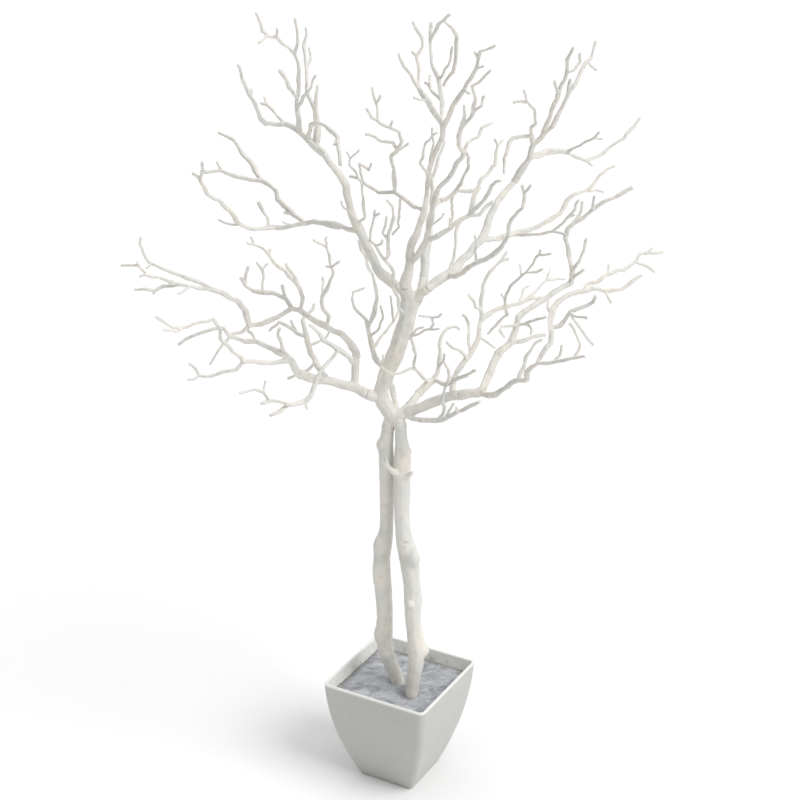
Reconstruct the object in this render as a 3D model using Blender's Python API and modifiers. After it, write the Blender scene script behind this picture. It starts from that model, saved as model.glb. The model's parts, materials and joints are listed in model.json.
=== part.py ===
"""Artificial tabletop tree: a square pot, a cement fill, two sleeved trunks and a crown of plug-in moulded sprays."""

import math

import bmesh
import bpy
from mathutils import Matrix, Vector, noise

# Overall sizes, metres. The tables below are drawn for these values and scale with them.
TREE_HEIGHT = 1.20
POT_SIDE = 0.178
POT_HEIGHT = 0.1765
CEMENT_DROP = 0.0205
TRUNK_GIRTH = 1.08
CROWN_DEPTH = 1.4

# Pot
POT_TURN = -29.3
POT_BULGE = 0.0090
POT_BASE_RATIO = 0.522
POT_WALL = 0.0040
POT_FLOOR = 0.0035
CORNER_ROUND = 0.007
RIM_ROUND = 0.0022

# Fits
GAP = 0.0003
ROD_DIAMETER = 0.006
ROD_FOOT = 0.028
ROD_STEP = 3
PEG_LENGTH = 0.0075
PEG_RATIO = 0.54
SUPPORT = 0.0022
LEG_RUN = 0.009

# The branches are drawn on the front plane as seen from a standing eye, and pushed along the sight line to
# their depth, so each spray keeps its outline from the front wherever it sits in the crown.
EYE = Vector((0.0, -2.247, 1.580))
DRAWN_HEIGHT = 1.20
DRAWN_CEMENT = 0.156
SCALE = TREE_HEIGHT / DRAWN_HEIGHT
CEMENT_TOP = POT_HEIGHT - CEMENT_DROP
SKIN_GAIN = 1.075
SQUARE_GAIN = 0.90
FLAT_ANGLE = 8.0
PIN_SIDES = 8
CM = 0.01

# colour, roughness, metallic
MATERIALS = {
    "pot_plastic": ((0.80, 0.81, 0.79), 0.38, 0.0),
    "cement": ((0.42, 0.44, 0.52), 0.92, 0.0),
    "branch_plastic": ((0.83, 0.81, 0.78), 0.62, 0.0),
    "rod_steel": ((0.50, 0.50, 0.50), 0.35, 1.0),
}


# Each trunk point: front x, front z, depth y, radius, all in centimetres.
LEFT_TRUNK = [
    (-0.30, 13.1, 1.0, 1.12), (-0.35, 16.3, 1.0, 1.12), (-1.05, 18.2, 1.0, 1.12), (-1.75, 20.0, 1.1, 1.15),
    (-2.35, 22.2, 1.2, 1.22), (-2.55, 24.4, 1.2, 1.38), (-2.30, 27.3, 1.1, 1.20), (-2.40, 30.0, 1.1, 1.25),
    (-2.62, 33.0, 1.0, 1.34), (-2.66, 35.2, 1.0, 1.30), (-2.90, 37.6, 1.0, 1.24), (-2.55, 40.2, 0.9, 1.38),
    (-2.05, 42.6, 0.9, 1.02), (-1.98, 46.0, 0.8, 1.00), (-1.95, 49.6, 0.7, 1.00), (-2.02, 53.4, 0.6, 1.02),
    (-2.12, 56.8, 0.5, 1.10), (-1.72, 59.62, 0.45, 0.92),
]
RIGHT_TRUNK = [
    (1.78, 10.5, -3.0, 0.95), (1.85, 13.6, -3.0, 0.98), (2.20, 17.0, -3.0, 1.08), (2.55, 19.6, -3.0, 1.22),
    (2.70, 21.6, -2.9, 1.42), (2.50, 23.6, -2.8, 1.25), (2.10, 25.4, -2.7, 1.10), (2.00, 28.0, -2.5, 1.20),
    (1.95, 30.6, -2.4, 1.30), (1.90, 33.0, -2.2, 1.22), (1.65, 35.6, -2.1, 1.30), (1.28, 38.6, -1.9, 1.55),
    (0.55, 41.2, -1.7, 1.22), (0.30, 44.6, -1.5, 1.05), (0.35, 50.0, -1.2, 1.08), (0.30, 53.2, -1.0, 1.16),
    (0.45, 55.6, -0.8, 1.24), (0.22, 57.4, -0.7, 0.90), (0.10, 59.66, -0.6, 0.84),
]
TRUNK_TWIGS = [
    ("0.35,50.0 0.62,51.3 0.2,51.6 -1.0,52.4 -2.0,53.4 -2.1,55.3", -2.2, 0.56, 0.30),
    ("-2.0,53.4 -3.0,54.3", -2.0, 0.36, 0.30),
    ("0.62,51.3 1.3,51.8 1.9,52.4", -2.1, 0.46, 0.32),
]

# Each strand: its points as front "x,z" pairs in centimetres from a point already drawn, the depth it ends at,
# and its radius at the start and the end. A spray starts where its parent's strand of the same point ends.
CROWN_FORK = [
    ("-0.85,61.4 -2.1,62.9 -2.9,64.3", 0.0, 1.35, 1.22),
    ("-2.9,64.3 -2.6,66.4 -1.95,68.3 -1.2,70.1 -0.4,72.0 0.4,73.8 0.9,76.0 1.2,78.0 "
     "1.6,79.7", 0.3, 1.08, 1.42),
    ("-2.9,64.3 -4.1,64.75 -4.9,65.0", -0.4, 0.98, 0.90),
    ("-0.85,61.4 0.7,61.75", -0.3, 1.1, 1.1),
    ("0.7,61.75 1.5,63.3 2.7,65.0", 1.9, 0.66, 0.56),
    ("0.7,61.75 2.3,62.65 3.6,63.3 5.0,63.85 6.5,64.4 7.5,64.75 8.6,64.85", -2.4, 0.88, 0.80),
    ("0.7,61.75 2.0,60.95 2.9,60.84", -1.9, 0.46, 0.38),
    ("-0.85,61.4 -0.5,62.9 -0.9,64.6", 2.6, 0.46, 0.42),
    ("7.5,64.75 7.7,66.2 7.9,67.4", 2.2, 0.48, 0.44),
    ("1.6,79.7 0.5,80.8 -0.7,81.7", 0.9, 0.95, 0.84),
    ("1.6,79.7 1.0,80.7 0.75,81.6", -1.1, 0.84, 0.80),
    ("1.6,79.7 2.9,80.6 3.9,81.3", -0.3, 0.80, 0.72),
    ("1.2,78.0 2.5,79.2 3.1,81.2 3.35,82.8", 3.6, 0.72, 0.70),
    ("0.9,76.0 -0.3,78.8 -0.9,81.3 -0.85,82.6", -3.0, 0.32, 0.26),
]
SPRAYS = {
    "left_limb": ("crown_fork", "-4.9,65.0", 1, [
        ("-4.9,65.0 -5.8,65.4 -6.8,66.2", 0.0, 0.90, 0.84),
        ("-6.8,66.2 -8.6,66.45 -10.4,66.9 -11.6,67.15", -0.6, 0.74, 0.58),
        ("-6.8,66.2 -6.5,67.9 -6.5,69.4 -6.35,70.8", 1.2, 0.74, 0.54),
        ("-10.4,66.9 -11.2,67.9 -11.7,68.9", 2.0, 0.44, 0.40),
        ("-6.5,69.4 -7.3,70.6 -8.0,71.4", -2.0, 0.42, 0.36),
    ]),
    "left_low_spray": ("left_limb", "-11.6,67.15", 0, [
        ("-11.6,67.15 -12.5,67.25 -13.4,67.5 -14.6,68.1 -15.3,69.2 -16.0,70.2 -16.7,71.3", -2.0, 0.58, 0.58),
        ("-16.0,70.2 -17.7,69.9 -19.3,69.8 -21.0,69.9 -22.6,70.1", -6.0, 0.38, 0.32),
        ("-22.6,70.1 -24.5,71.9 -25.9,73.6 -26.05,75.2 -26.8,76.5 -28.6,76.2 -30.9,75.3 -32.7,75.4 "
         "-35.2,76.9",
         -10.0, 0.28, 0.20),
        ("-30.9,75.3 -32.3,74.7 -33.9,74.9", -11.0, 0.22, 0.18),
        ("-22.6,70.1 -23.9,68.7 -26.0,68.4 -27.4,67.9 -29.0,67.8 -29.8,68.9 -30.7,69.8", -7.0, 0.27, 0.20),
        ("-29.0,67.8 -30.9,67.1", -9.0, 0.22, 0.20),
        ("-16.7,71.3 -18.3,72.1 -20.6,73.0 -22.4,73.1 -24.2,73.9 -25.4,75.2 -27.7,74.8 -29.9,74.0 -32.1,72.7",
         -1.0, 0.40, 0.22),
        ("-16.7,71.3 -17.1,73.2 -17.5,74.2 -17.2,75.2", -4.0, 0.30, 0.22),
    ]),
    "left_twig_spray": ("left_limb", "-11.7,68.9", 0, [
        ("-11.7,68.9 -12.2,69.9 -12.9,71.2 -13.1,72.6 -13.5,73.8 -13.8,75.2 -14.0,76.3 "
         "-13.8,77.3", 8.0, 0.40, 0.26),
        ("-13.1,72.6 -12.0,73.0 -11.1,73.5", 6.5, 0.24, 0.20),
        ("-13.5,73.8 -14.8,74.4 -16.1,75.5 -17.4,76.2 -18.2,75.5 -18.8,74.7", 8.0, 0.26, 0.20),
        ("-14.8,74.4 -15.8,76.5", 7.0, 0.20, 0.18),
        ("-12.2,69.9 -13.4,68.8 -15.3,67.9 -16.4,67.4", 4.5, 0.24, 0.20),
    ]),
    "left_front_spray": ("left_limb", "-8.0,71.4", 0, [
        ("-8.0,71.4 -8.8,71.8 -9.6,72.3 -10.9,73.4 -11.5,74.3 -13.0,75.7", -4.0, 0.34, 0.20),
        ("-8.8,71.8 -9.9,70.5 -11.5,68.7 -12.2,66.8 -13.1,64.9 -13.9,63.9 -15.0,63.4 "
         "-16.1,63.2", -7.0, 0.32, 0.32),
        ("-13.9,63.9 -13.7,62.5", -6.5, 0.22, 0.18),
        ("-16.1,63.2 -17.9,63.8 -19.1,63.8 -20.4,63.3", -10.0, 0.27, 0.22),
        ("-19.1,63.8 -20.0,65.2 -21.4,65.8 -23.4,65.0", -11.0, 0.24, 0.18),
        ("-20.0,65.2 -19.4,66.9", -9.0, 0.20, 0.18),
        ("-16.1,63.2 -17.7,62.1 -19.3,61.5", -8.0, 0.27, 0.26),
        ("-10.9,73.4 -10.2,74.6", -3.0, 0.20, 0.18),
    ]),
    "left_mid_spray": ("left_limb", "-6.35,70.8", 0, [
        ("-6.35,70.8 -6.4,71.7 -7.2,73.0 -8.4,74.2 -9.5,74.7 -10.7,75.6 -12.2,76.2 -13.3,77.2 -14.3,78.0 "
         "-15.5,78.2",
         4.0, 0.50, 0.40),
        ("-15.5,78.2 -17.6,76.7 -20.0,75.8 -21.7,75.7 -22.0,76.8 -22.2,77.9", 3.0, 0.36, 0.40),
        ("-21.7,75.7 -22.7,74.6 -24.3,74.1 -25.5,72.8 -26.9,70.6 -27.7,69.5", 2.0, 0.26, 0.18),
        ("-21.7,75.7 -21.9,74.6 -20.9,73.6", 6.0, 0.24, 0.20),
        ("-15.5,78.2 -16.3,79.8 -18.0,80.5 -19.5,80.75 -20.9,80.8 -22.0,81.9 -21.95,83.3 "
         "-21.6,84.6", 7.0, 0.33, 0.22),
        ("-22.0,81.9 -22.7,82.8", 6.0, 0.28, 0.27),
        ("-19.5,80.75 -19.6,82.3 -19.5,84.0 -20.3,85.1", 9.5, 0.28, 0.20),
        ("-19.5,84.0 -18.8,85.0", 9.5, 0.20, 0.18),
        ("-16.3,79.8 -16.55,80.9 -16.8,81.8", 4.5, 0.22, 0.22),
        ("-14.3,78.0 -13.9,79.7 -14.15,81.2 -15.1,82.4 -16.4,83.9 -17.85,85.15 -18.4,86.1 -19.0,86.9 "
         "-19.8,87.4 "
         "-20.5,87.8 -21.6,87.95", 0.0, 0.32, 0.20),
        ("-20.5,87.8 -21.1,89.0", 0.5, 0.20, 0.18),
        ("-18.4,86.1 -18.2,87.1", 1.5, 0.20, 0.18),
        ("-14.15,81.2 -14.8,82.85 -15.35,83.6 -16.3,84.9", 4.5, 0.25, 0.22),
        ("-13.3,77.2 -12.5,78.2 -12.3,78.9", 5.0, 0.22, 0.20),
        ("-10.7,75.6 -10.45,76.2 -10.35,76.9", 2.6, 0.30, 0.28),
    ]),
    "left_twig_high": ("left_mid_spray", "-10.35,76.9", 0, [
        ("-10.35,76.9 -10.8,77.8 -11.35,79.3 -10.9,80.5 -10.15,81.7 -9.55,83.3 -9.8,84.4 -9.95,86.0 "
         "-10.4,87.3 "
         "-12.2,88.5", -4.0, 0.28, 0.18),
        ("-9.8,84.4 -9.1,84.8 -8.4,85.4", -3.0, 0.20, 0.18),
        ("-9.8,84.4 -10.7,84.6", -1.5, 0.20, 0.17),
        ("-10.4,87.3 -10.4,89.0", -6.0, 0.19, 0.17),
        ("-10.9,80.5 -11.0,81.8 -11.1,82.9", 2.5, 0.20, 0.18),
    ]),
    "left_far_spray": ("left_mid_spray", "-22.2,77.9", 0, [
        ("-22.2,77.9 -22.6,78.6 -23.4,79.5 -25.4,80.6", 1.5, 0.40, 0.38),
        ("-25.4,80.6 -27.3,81.7 -29.0,82.6 -31.7,83.35 -33.4,84.05 -35.4,85.0 -36.4,86.5 -36.7,87.7 "
         "-36.5,88.8",
         6.0, 0.33, 0.20),
        ("-25.4,80.6 -27.9,81.1 -29.6,81.55 -31.5,81.8 -33.7,81.5 -35.0,81.0 -36.5,81.2 "
         "-37.8,81.25", -4.0, 0.33, 0.20),
        ("-31.5,81.8 -32.7,82.4", -0.5, 0.28, 0.27),
        ("-31.5,81.8 -33.9,82.4 -35.7,83.3 -37.1,83.05", -7.0, 0.26, 0.22),
        ("-35.7,83.3 -36.8,84.7 -38.2,84.65 -39.6,84.55", -5.0, 0.24, 0.20),
        ("-36.8,84.7 -37.3,85.3", -5.5, 0.19, 0.17),
        ("-35.0,81.0 -35.25,80.4", -2.5, 0.20, 0.18),
        ("-29.6,81.55 -30.9,80.9 -31.7,80.3", -3.5, 0.20, 0.18),
        ("-35.4,85.0 -36.0,84.3", 3.0, 0.19, 0.17),
    ]),
    "center_left_spray": ("crown_fork", "-0.9,64.6", 0, [
        ("-0.9,64.6 -1.25,66.2 -1.9,68.0 -2.8,69.4 -3.6,70.6 -3.9,72.1 -4.3,73.8 -4.6,75.2", 6.0, 0.42, 0.35),
        ("-4.6,75.2 -5.0,76.6 -6.4,78.3 -6.9,79.5 -6.7,80.7 -5.1,81.2", 10.0, 0.26, 0.18),
        ("-4.6,75.2 -3.9,77.1 -3.3,79.8 -3.45,81.5 -3.95,82.9 -4.65,85.4 -5.45,87.1 "
         "-5.8,88.6", 7.0, 0.31, 0.20),
        ("-3.9,72.1 -2.4,74.1 -1.1,76.1 0.0,78.0", 9.0, 0.24, 0.18),
        ("-1.1,76.1 -1.0,77.6 -1.4,80.0", 6.5, 0.20, 0.17),
        ("-4.3,73.8 -3.0,75.3 -2.4,76.8 -2.8,78.5", 4.5, 0.20, 0.17),
    ]),
    "center_front_spray": ("crown_fork", "-0.85,82.6", 0, [
        ("-0.85,82.6 -0.85,83.6 -1.3,84.5 -2.0,85.4 -2.9,86.5 -3.5,87.3 -4.2,88.4 -4.2,89.7 -3.8,90.7 "
         "-3.5,91.7 "
         "-3.55,92.8", -6.0, 0.26, 0.18),
        ("-3.5,91.7 -2.95,92.3", -6.5, 0.18, 0.17),
        ("-3.5,87.3 -2.75,87.7 -2.5,88.4", -6.5, 0.20, 0.18),
        ("-2.0,85.4 -1.6,86.6 -1.7,88.3 -1.5,89.5 -1.3,90.7 -0.85,91.7 -1.15,93.2 "
         "-1.85,94.3", -9.0, 0.24, 0.18),
        ("-1.7,88.3 -2.4,89.3 -2.3,90.4 -1.9,91.8", -7.5, 0.19, 0.17),
    ]),
    "upper_left_limb": ("crown_fork", "-0.7,81.7", 1, [
        ("-0.7,81.7 -1.5,82.3 -2.5,83.2 -3.3,84.4 -3.9,85.8 -4.4,87.2 -4.9,88.5 -5.5,89.6 -6.2,90.8 "
         "-6.75,92.2 "
         "-7.1,93.7 -7.3,95.1 -7.6,96.4 -8.2,97.7 -9.0,98.8 -9.8,99.8 -10.65,100.9", 4.0, 0.84, 0.50),
        ("-5.5,89.6 -7.0,90.05 -8.4,90.35", 4.2, 0.56, 0.46),
        ("-6.2,90.8 -5.0,91.6 -4.85,93.2 -4.95,95.0 -5.3,96.7 -6.0,97.5", -1.5, 0.24, 0.18),
        ("-6.75,92.2 -7.95,93.1 -8.25,94.2", 0.5, 0.22, 0.17),
    ]),
    "upper_left_side_spray": ("upper_left_limb", "-8.4,90.35", 0, [
        ("-8.4,90.35 -9.5,90.6 -10.7,91.0 -12.3,91.1 -13.4,90.95", 6.5, 0.44, 0.35),
        ("-13.4,90.95 -15.0,90.4 -17.1,90.3 -18.5,90.3 -20.6,90.0 -22.3,90.55", 3.0, 0.33, 0.31),
        ("-16.0,90.35 -16.4,91.0", 4.0, 0.19, 0.17),
        ("-22.3,90.55 -23.4,91.8 -24.45,93.4 -25.7,94.2 -26.85,95.1 -27.3,96.6 -27.6,97.2 -28.7,98.05",
         -3.0, 0.36, 0.22),
        ("-27.6,97.2 -27.3,98.5 -27.4,99.7", -4.0, 0.24, 0.20),
        ("-22.3,90.55 -23.7,90.7 -25.5,91.6", 5.0, 0.22, 0.18),
        ("-18.5,90.3 -18.6,91.8 -19.2,92.9 -19.9,93.9", 6.0, 0.22, 0.26),
        ("-13.4,90.95 -14.7,92.1 -16.2,93.3 -17.15,94.4 -17.35,95.6 -18.1,96.4 "
         "-19.3,97.05", 10.0, 0.34, 0.33),
        ("-19.3,97.05 -20.9,97.1 -23.2,97.7 -24.8,98.4 -26.6,98.4 -27.7,98.3", 8.0, 0.29, 0.24),
        ("-24.8,98.4 -25.3,99.8", 9.0, 0.22, 0.17),
        ("-19.3,97.05 -20.0,98.6 -21.05,100.1 -22.2,101.8 -22.9,102.7 -24.9,103.9", 14.0, 0.37, 0.19),
        ("-15.0,92.3 -16.3,92.4", 7.5, 0.19, 0.17),
    ]),
    "upper_left_top_spray": ("upper_left_limb", "-10.65,100.9", 0, [
        ("-10.65,100.9 -11.6,101.8 -12.6,102.9 -13.6,103.9 -14.65,104.7 -15.8,105.1", 5.5, 0.50, 0.40),
        ("-15.8,105.1 -17.1,104.85 -18.4,104.95 -19.1,105.7 -19.5,106.9 -20.0,108.2 -20.9,109.65 -21.5,111.7 "
         "-21.85,113.2", 3.0, 0.33, 0.21),
        ("-20.0,108.2 -20.35,109.8", 6.0, 0.23, 0.20),
        ("-15.8,105.1 -17.3,106.8 -18.15,107.75 -19.0,107.85", 8.0, 0.27, 0.21),
        ("-18.15,107.75 -18.4,108.7", 8.5, 0.18, 0.17),
        ("-13.6,103.9 -13.9,104.9 -13.95,105.9", 3.8, 0.36, 0.34),
        ("-11.6,101.8 -11.4,103.0 -11.3,104.3", 4.6, 0.46, 0.42),
        ("-12.6,102.9 -12.2,104.9 -11.4,105.3 -10.2,104.7 -9.3,104.0 -8.7,103.2 -8.4,101.8 -8.3,100.4 "
         "-8.25,99.2",
         -2.0, 0.34, 0.24),
        ("-8.7,103.2 -9.05,102.1", 0.0, 0.25, 0.25),
    ]),
    "upper_left_crest": ("upper_left_top_spray", "-13.95,105.9", 0, [
        ("-13.95,105.9 -14.0,107.0 -14.05,108.4 -13.7,109.8 -13.6,112.4 -13.7,113.5 -14.15,114.4 -14.0,115.4 "
         "-13.8,116.7 -13.95,117.8 -14.0,119.35", 1.0, 0.34, 0.20),
        ("-14.05,108.4 -15.05,109.8 -15.7,111.2 -16.2,112.3", 0.0, 0.24, 0.28),
        ("-14.15,114.4 -15.7,115.9 -16.6,116.85 -17.75,116.95 -18.5,117.6 -18.55,118.6 "
         "-19.2,120.0", -2.0, 0.25, 0.20),
        ("-16.6,116.85 -16.4,118.1", -0.5, 0.19, 0.18),
        ("-17.75,116.95 -18.9,116.0", -2.5, 0.20, 0.18),
        ("-14.0,107.0 -13.0,109.0 -12.0,110.2 -11.35,111.8", -1.0, 0.24, 0.18),
    ]),
    "upper_left_peak": ("upper_left_top_spray", "-11.3,104.3", 0, [
        ("-11.3,104.3 -11.4,105.6 -11.55,106.9 -11.4,108.3 -11.25,110.4", 6.0, 0.42, 0.22),
        ("-11.55,106.9 -12.4,108.6 -12.75,110.0 -12.65,111.3 -12.6,112.7 -12.8,114.2 -13.0,115.6 "
         "-12.65,117.2 "
         "-12.6,118.2", 8.0, 0.26, 0.18),
        ("-12.6,112.7 -12.05,113.7 -12.1,115.3", 8.5, 0.20, 0.18),
    ]),
    "upper_center_limb": ("crown_fork", "0.75,81.6", 1, [
        ("0.75,81.6 0.85,82.5 1.1,83.7 1.45,84.9 1.4,86.3 1.4,87.4 1.8,88.4 2.3,89.4 2.75,90.4 3.15,91.4 "
         "3.4,92.5 "
         "3.7,93.7 3.85,94.9 3.85,96.1", -0.5, 0.78, 0.38),
        ("1.45,84.9 2.3,85.8 2.8,86.6 3.35,87.5 3.75,88.4 3.95,89.4 4.15,90.4 4.25,91.6 4.45,92.8 4.85,94.5 "
         "5.45,96.0 6.3,97.1 7.0,97.75", -6.0, 0.46, 0.34),
        ("3.75,88.4 4.5,88.7 5.3,89.0", -4.0, 0.38, 0.36),
        ("3.4,92.5 2.9,92.7 2.3,93.1", 0.2, 0.30, 0.28),
        ("4.15,90.4 5.0,91.0 6.4,92.4", -6.5, 0.20, 0.17),
    ]),
    "center_fan_left": ("upper_center_limb", "2.3,93.1", 0, [
        ("2.3,93.1 1.7,93.5 1.0,94.0 0.1,94.8 -0.7,95.3 -1.8,95.35 -2.8,95.2 -3.6,95.7 -4.75,96.4 -5.85,97.3 "
         "-7.0,97.6", 7.5, 0.28, 0.20),
        ("-0.7,95.3 -0.6,96.5 -0.8,97.8 -1.1,99.2 -1.15,100.4 -0.3,101.3", -1.0, 0.30, 0.26),
        ("-0.3,101.3 -1.0,102.5 -2.6,102.5 -3.4,103.4 -4.6,103.4", -4.0, 0.22, 0.18),
        ("-0.3,101.3 0.25,102.6 -0.1,103.8 -1.5,104.5 -2.8,105.1 -3.9,105.9 -4.6,107.1", -6.0, 0.25, 0.20),
        ("-2.8,105.1 -3.1,106.8 -3.2,107.9 -3.9,110.0", -3.0, 0.21, 0.17),
        ("-3.2,107.9 -2.6,108.9", -4.5, 0.18, 0.17),
        ("-1.5,104.5 -1.0,105.4", -5.0, 0.18, 0.17),
        ("-0.3,101.3 1.2,102.3", -1.5, 0.20, 0.18),
        ("-5.85,97.3 -6.3,98.4 -6.95,99.3 -6.8,100.2 -7.3,101.2", 8.5, 0.19, 0.17),
        ("-6.8,100.2 -5.6,101.35", 7.5, 0.18, 0.17),
        ("-4.75,96.4 -5.6,98.0 -5.6,99.6 -4.3,98.5 -4.05,99.6", 3.5, 0.19, 0.17),
        ("0.1,94.8 -0.1,93.2 0.05,91.5 -0.15,90.5 -1.0,89.2", 9.0, 0.22, 0.17),
    ]),
    "center_top_spray": ("upper_center_limb", "3.85,96.1", 0, [
        ("3.85,96.1 3.8,97.2 3.8,98.2 4.2,99.2 4.55,100.1 5.1,101.2 5.45,102.2 5.8,103.3 5.9,104.3 5.7,105.2",
         -1.5, 0.38, 0.42),
        ("5.7,105.2 4.75,106.65 4.1,107.6 3.5,108.4 3.1,109.25 2.55,110.2 2.0,110.9 1.35,111.6 0.6,112.7 "
         "-0.2,114.55",
         -4.0, 0.38, 0.20),
        ("3.5,108.4 2.5,108.2 1.85,108.6", -4.5, 0.20, 0.18),
        ("2.55,110.2 2.65,111.6 2.5,113.3 2.3,114.3 2.95,115.6 2.9,116.6 2.45,117.5 "
         "1.7,118.9", -1.0, 0.25, 0.20),
        ("2.3,114.3 1.7,114.95", -1.5, 0.18, 0.17),
        ("3.8,98.2 2.9,99.4 3.1,101.0 3.55,102.4 4.1,103.2 5.0,103.9", -6.0, 0.20, 0.17),
        ("5.7,105.2 5.75,106.0 5.75,106.9", -0.6, 0.34, 0.32),
        ("5.9,104.3 6.4,105.6 6.7,106.4", -3.6, 0.34, 0.30),
    ]),
    "center_crest": ("center_top_spray", "5.75,106.9", 0, [
        ("5.75,106.9 5.8,108.0 5.7,109.2 5.5,110.2 5.15,111.2 4.7,112.4 4.3,113.6 4.1,115.0 4.05,116.1 "
         "4.05,117.35 "
         "4.1,118.7", 3.0, 0.32, 0.20),
        ("4.05,116.1 4.5,117.2 5.2,118.6 5.85,119.15 6.8,119.9", 1.0, 0.24, 0.22),
        ("5.85,119.15 7.1,117.9 7.5,117.0 7.65,115.5 7.45,113.6 7.1,112.1 6.5,111.1 "
         "6.0,110.4", 4.5, 0.24, 0.22),
        ("5.15,111.2 5.9,112.1 6.65,112.9 6.95,113.9 7.1,115.6", -1.5, 0.21, 0.18),
        ("5.8,108.0 5.1,109.1 4.2,109.8 3.35,110.7", 4.0, 0.24, 0.19),
        ("4.2,109.8 4.0,110.8 4.05,111.8", 3.5, 0.20, 0.19),
    ]),
    "center_right_spray": ("center_top_spray", "6.7,106.4", 0, [
        ("6.7,106.4 7.1,107.3 7.75,108.6 8.55,109.7 9.1,110.4 9.8,111.4 10.3,112.7 10.55,113.8 "
         "10.9,114.75 11.6,115.15 "
         "12.8,115.8", -8.0, 0.30, 0.18),
        ("10.55,113.8 10.1,114.8", -7.0, 0.18, 0.17),
        ("10.3,112.7 11.4,113.1", -6.5, 0.18, 0.17),
        ("8.55,109.7 9.4,109.3", -7.0, 0.17, 0.16),
    ]),
    "mid_top_spray": ("upper_center_limb", "7.0,97.75", 0, [
        ("7.0,97.75 7.5,98.5 7.95,99.5 8.35,100.35 8.75,101.0 8.1,102.1 8.1,103.3 8.35,104.3 9.5,105.7 "
         "10.0,106.6 "
         "10.15,107.6 10.15,108.8 9.8,110.4 10.6,110.8 11.7,111.85 12.35,112.3", -12.0, 0.33, 0.18),
        ("8.35,104.3 8.9,106.3 8.7,107.5", -10.0, 0.19, 0.17),
        ("10.0,106.6 11.2,107.5 11.45,108.8", -11.5, 0.20, 0.18),
        ("8.75,101.0 9.3,102.5 10.0,103.05 10.9,103.2 11.3,104.5 12.6,105.25", -5.0, 0.24, 0.18),
    ]),
    "back_stem": ("crown_fork", "3.35,82.8", 1, [
        ("3.35,82.8 3.45,84.0 3.65,85.5 3.8,87.0 4.0,88.5 4.2,90.0 4.35,91.5 4.35,93.2", 7.0, 0.70, 0.46),
        ("4.35,93.2 5.0,93.75 5.7,94.1", 8.0, 0.38, 0.35),
        ("4.35,93.2 4.3,94.8 4.4,96.4 4.65,98.0 5.0,99.6 5.6,101.2 6.25,102.8", 10.0, 0.36, 0.20),
        ("4.4,96.4 4.1,98.4 4.1,100.4 4.5,102.4 4.45,104.6", 6.5, 0.24, 0.18),
    ]),
    "back_side_spray": ("back_stem", "5.7,94.1", 0, [
        ("5.7,94.1 6.5,94.45 7.2,95.0 7.8,95.5 8.6,95.5 9.6,95.45 10.4,95.6 11.0,96.2", 10.0, 0.35, 0.26),
        ("7.8,95.5 8.4,96.4 8.7,97.2 9.2,98.1 9.5,99.1 9.5,100.3 8.95,101.0", 6.0, 0.26, 0.20),
        ("7.2,95.0 7.15,93.5 7.1,92.1 7.25,91.0", 13.0, 0.26, 0.20),
    ]),
    "mid_right_spray": ("upper_center_limb", "5.3,89.0", 0, [
        ("5.3,89.0 6.1,89.5 6.9,90.1 7.3,90.6 8.0,91.0 8.8,91.5 9.7,92.1", -4.0, 0.36, 0.36),
        ("9.7,92.1 9.9,93.25 10.2,94.3 10.5,95.3 11.1,96.4 11.5,97.4 12.05,98.1 12.6,98.8 13.1,99.4 "
         "13.2,100.3 "
         "13.35,101.3 13.5,102.0 13.0,103.05", -1.0, 0.33, 0.20),
        ("13.5,102.0 14.3,102.75", -1.0, 0.20, 0.19),
        ("9.7,92.1 10.7,93.4 11.8,94.3 12.2,95.2 12.6,96.1 13.3,96.6 14.2,97.0", -7.0, 0.27, 0.20),
        ("9.7,92.1 11.0,92.1 12.3,93.3 13.1,94.1", -3.5, 0.29, 0.24),
        ("8.8,91.5 8.1,90.2 8.05,88.7 7.95,87.4 7.7,86.2 7.5,85.0 7.1,84.0", -6.5, 0.25, 0.20),
        ("6.9,90.1 7.0,91.6", -6.5, 0.18, 0.17),
    ]),
    "upper_right_limb": ("crown_fork", "3.9,81.3", 1, [
        ("3.9,81.3 4.95,81.95 5.95,82.65 6.95,83.3 7.8,84.1 8.6,85.0 9.35,86.0 10.15,87.0 11.0,87.8 "
         "11.5,88.6 "
         "11.85,89.6 12.2,90.7 12.7,91.9 13.15,93.1 13.65,94.1 14.3,95.0 15.1,95.95 "
         "15.8,96.9", 6.0, 0.72, 0.43),
        ("6.95,83.3 8.0,83.0 8.8,83.5", -1.5, 0.44, 0.38),
        ("11.5,88.6 12.7,88.5 13.6,88.6", 4.6, 0.50, 0.42),
    ]),
    "lower_right_run": ("upper_right_limb", "8.8,83.5", 0, [
        ("8.8,83.5 9.8,84.3 10.6,85.0 11.5,85.4 12.3,85.7 13.15,86.1 13.8,86.7 14.5,87.6 14.9,88.4 15.2,89.5 "
         "15.35,90.6 15.6,91.5 16.2,92.3 17.0,92.95 17.2,93.9 17.2,95.1 16.9,96.4", -8.0, 0.36, 0.20),
        ("17.2,95.1 17.8,95.7 18.2,96.4", -9.0, 0.20, 0.18),
        ("10.6,85.0 10.75,86.5 10.6,87.8 10.55,89.2", -5.0, 0.20, 0.17),
    ]),
    "right_side_spray": ("upper_right_limb", "13.6,88.6", 0, [
        ("13.6,88.6 14.4,88.8 15.3,89.05 16.2,89.35 17.3,89.7 18.3,89.95 19.4,90.35 20.3,90.9 21.75,91.85 "
         "22.45,92.4 "
         "22.9,93.3 23.3,94.3 24.3,95.1 25.85,95.55 26.65,96.1 27.3,96.9 27.8,97.8 28.45,98.45 29.65,99.15",
         12.0, 0.40, 0.19),
        ("25.85,95.55 27.0,95.45 28.4,95.5", 12.5, 0.20, 0.17),
        ("16.2,89.35 18.3,89.2 19.7,89.4 21.4,89.6 22.5,89.45 23.3,89.35", 2.0, 0.27, 0.19),
        ("21.4,89.6 22.25,90.6 23.25,91.7 24.4,92.8 25.0,94.3", -1.0, 0.24, 0.19),
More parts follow.
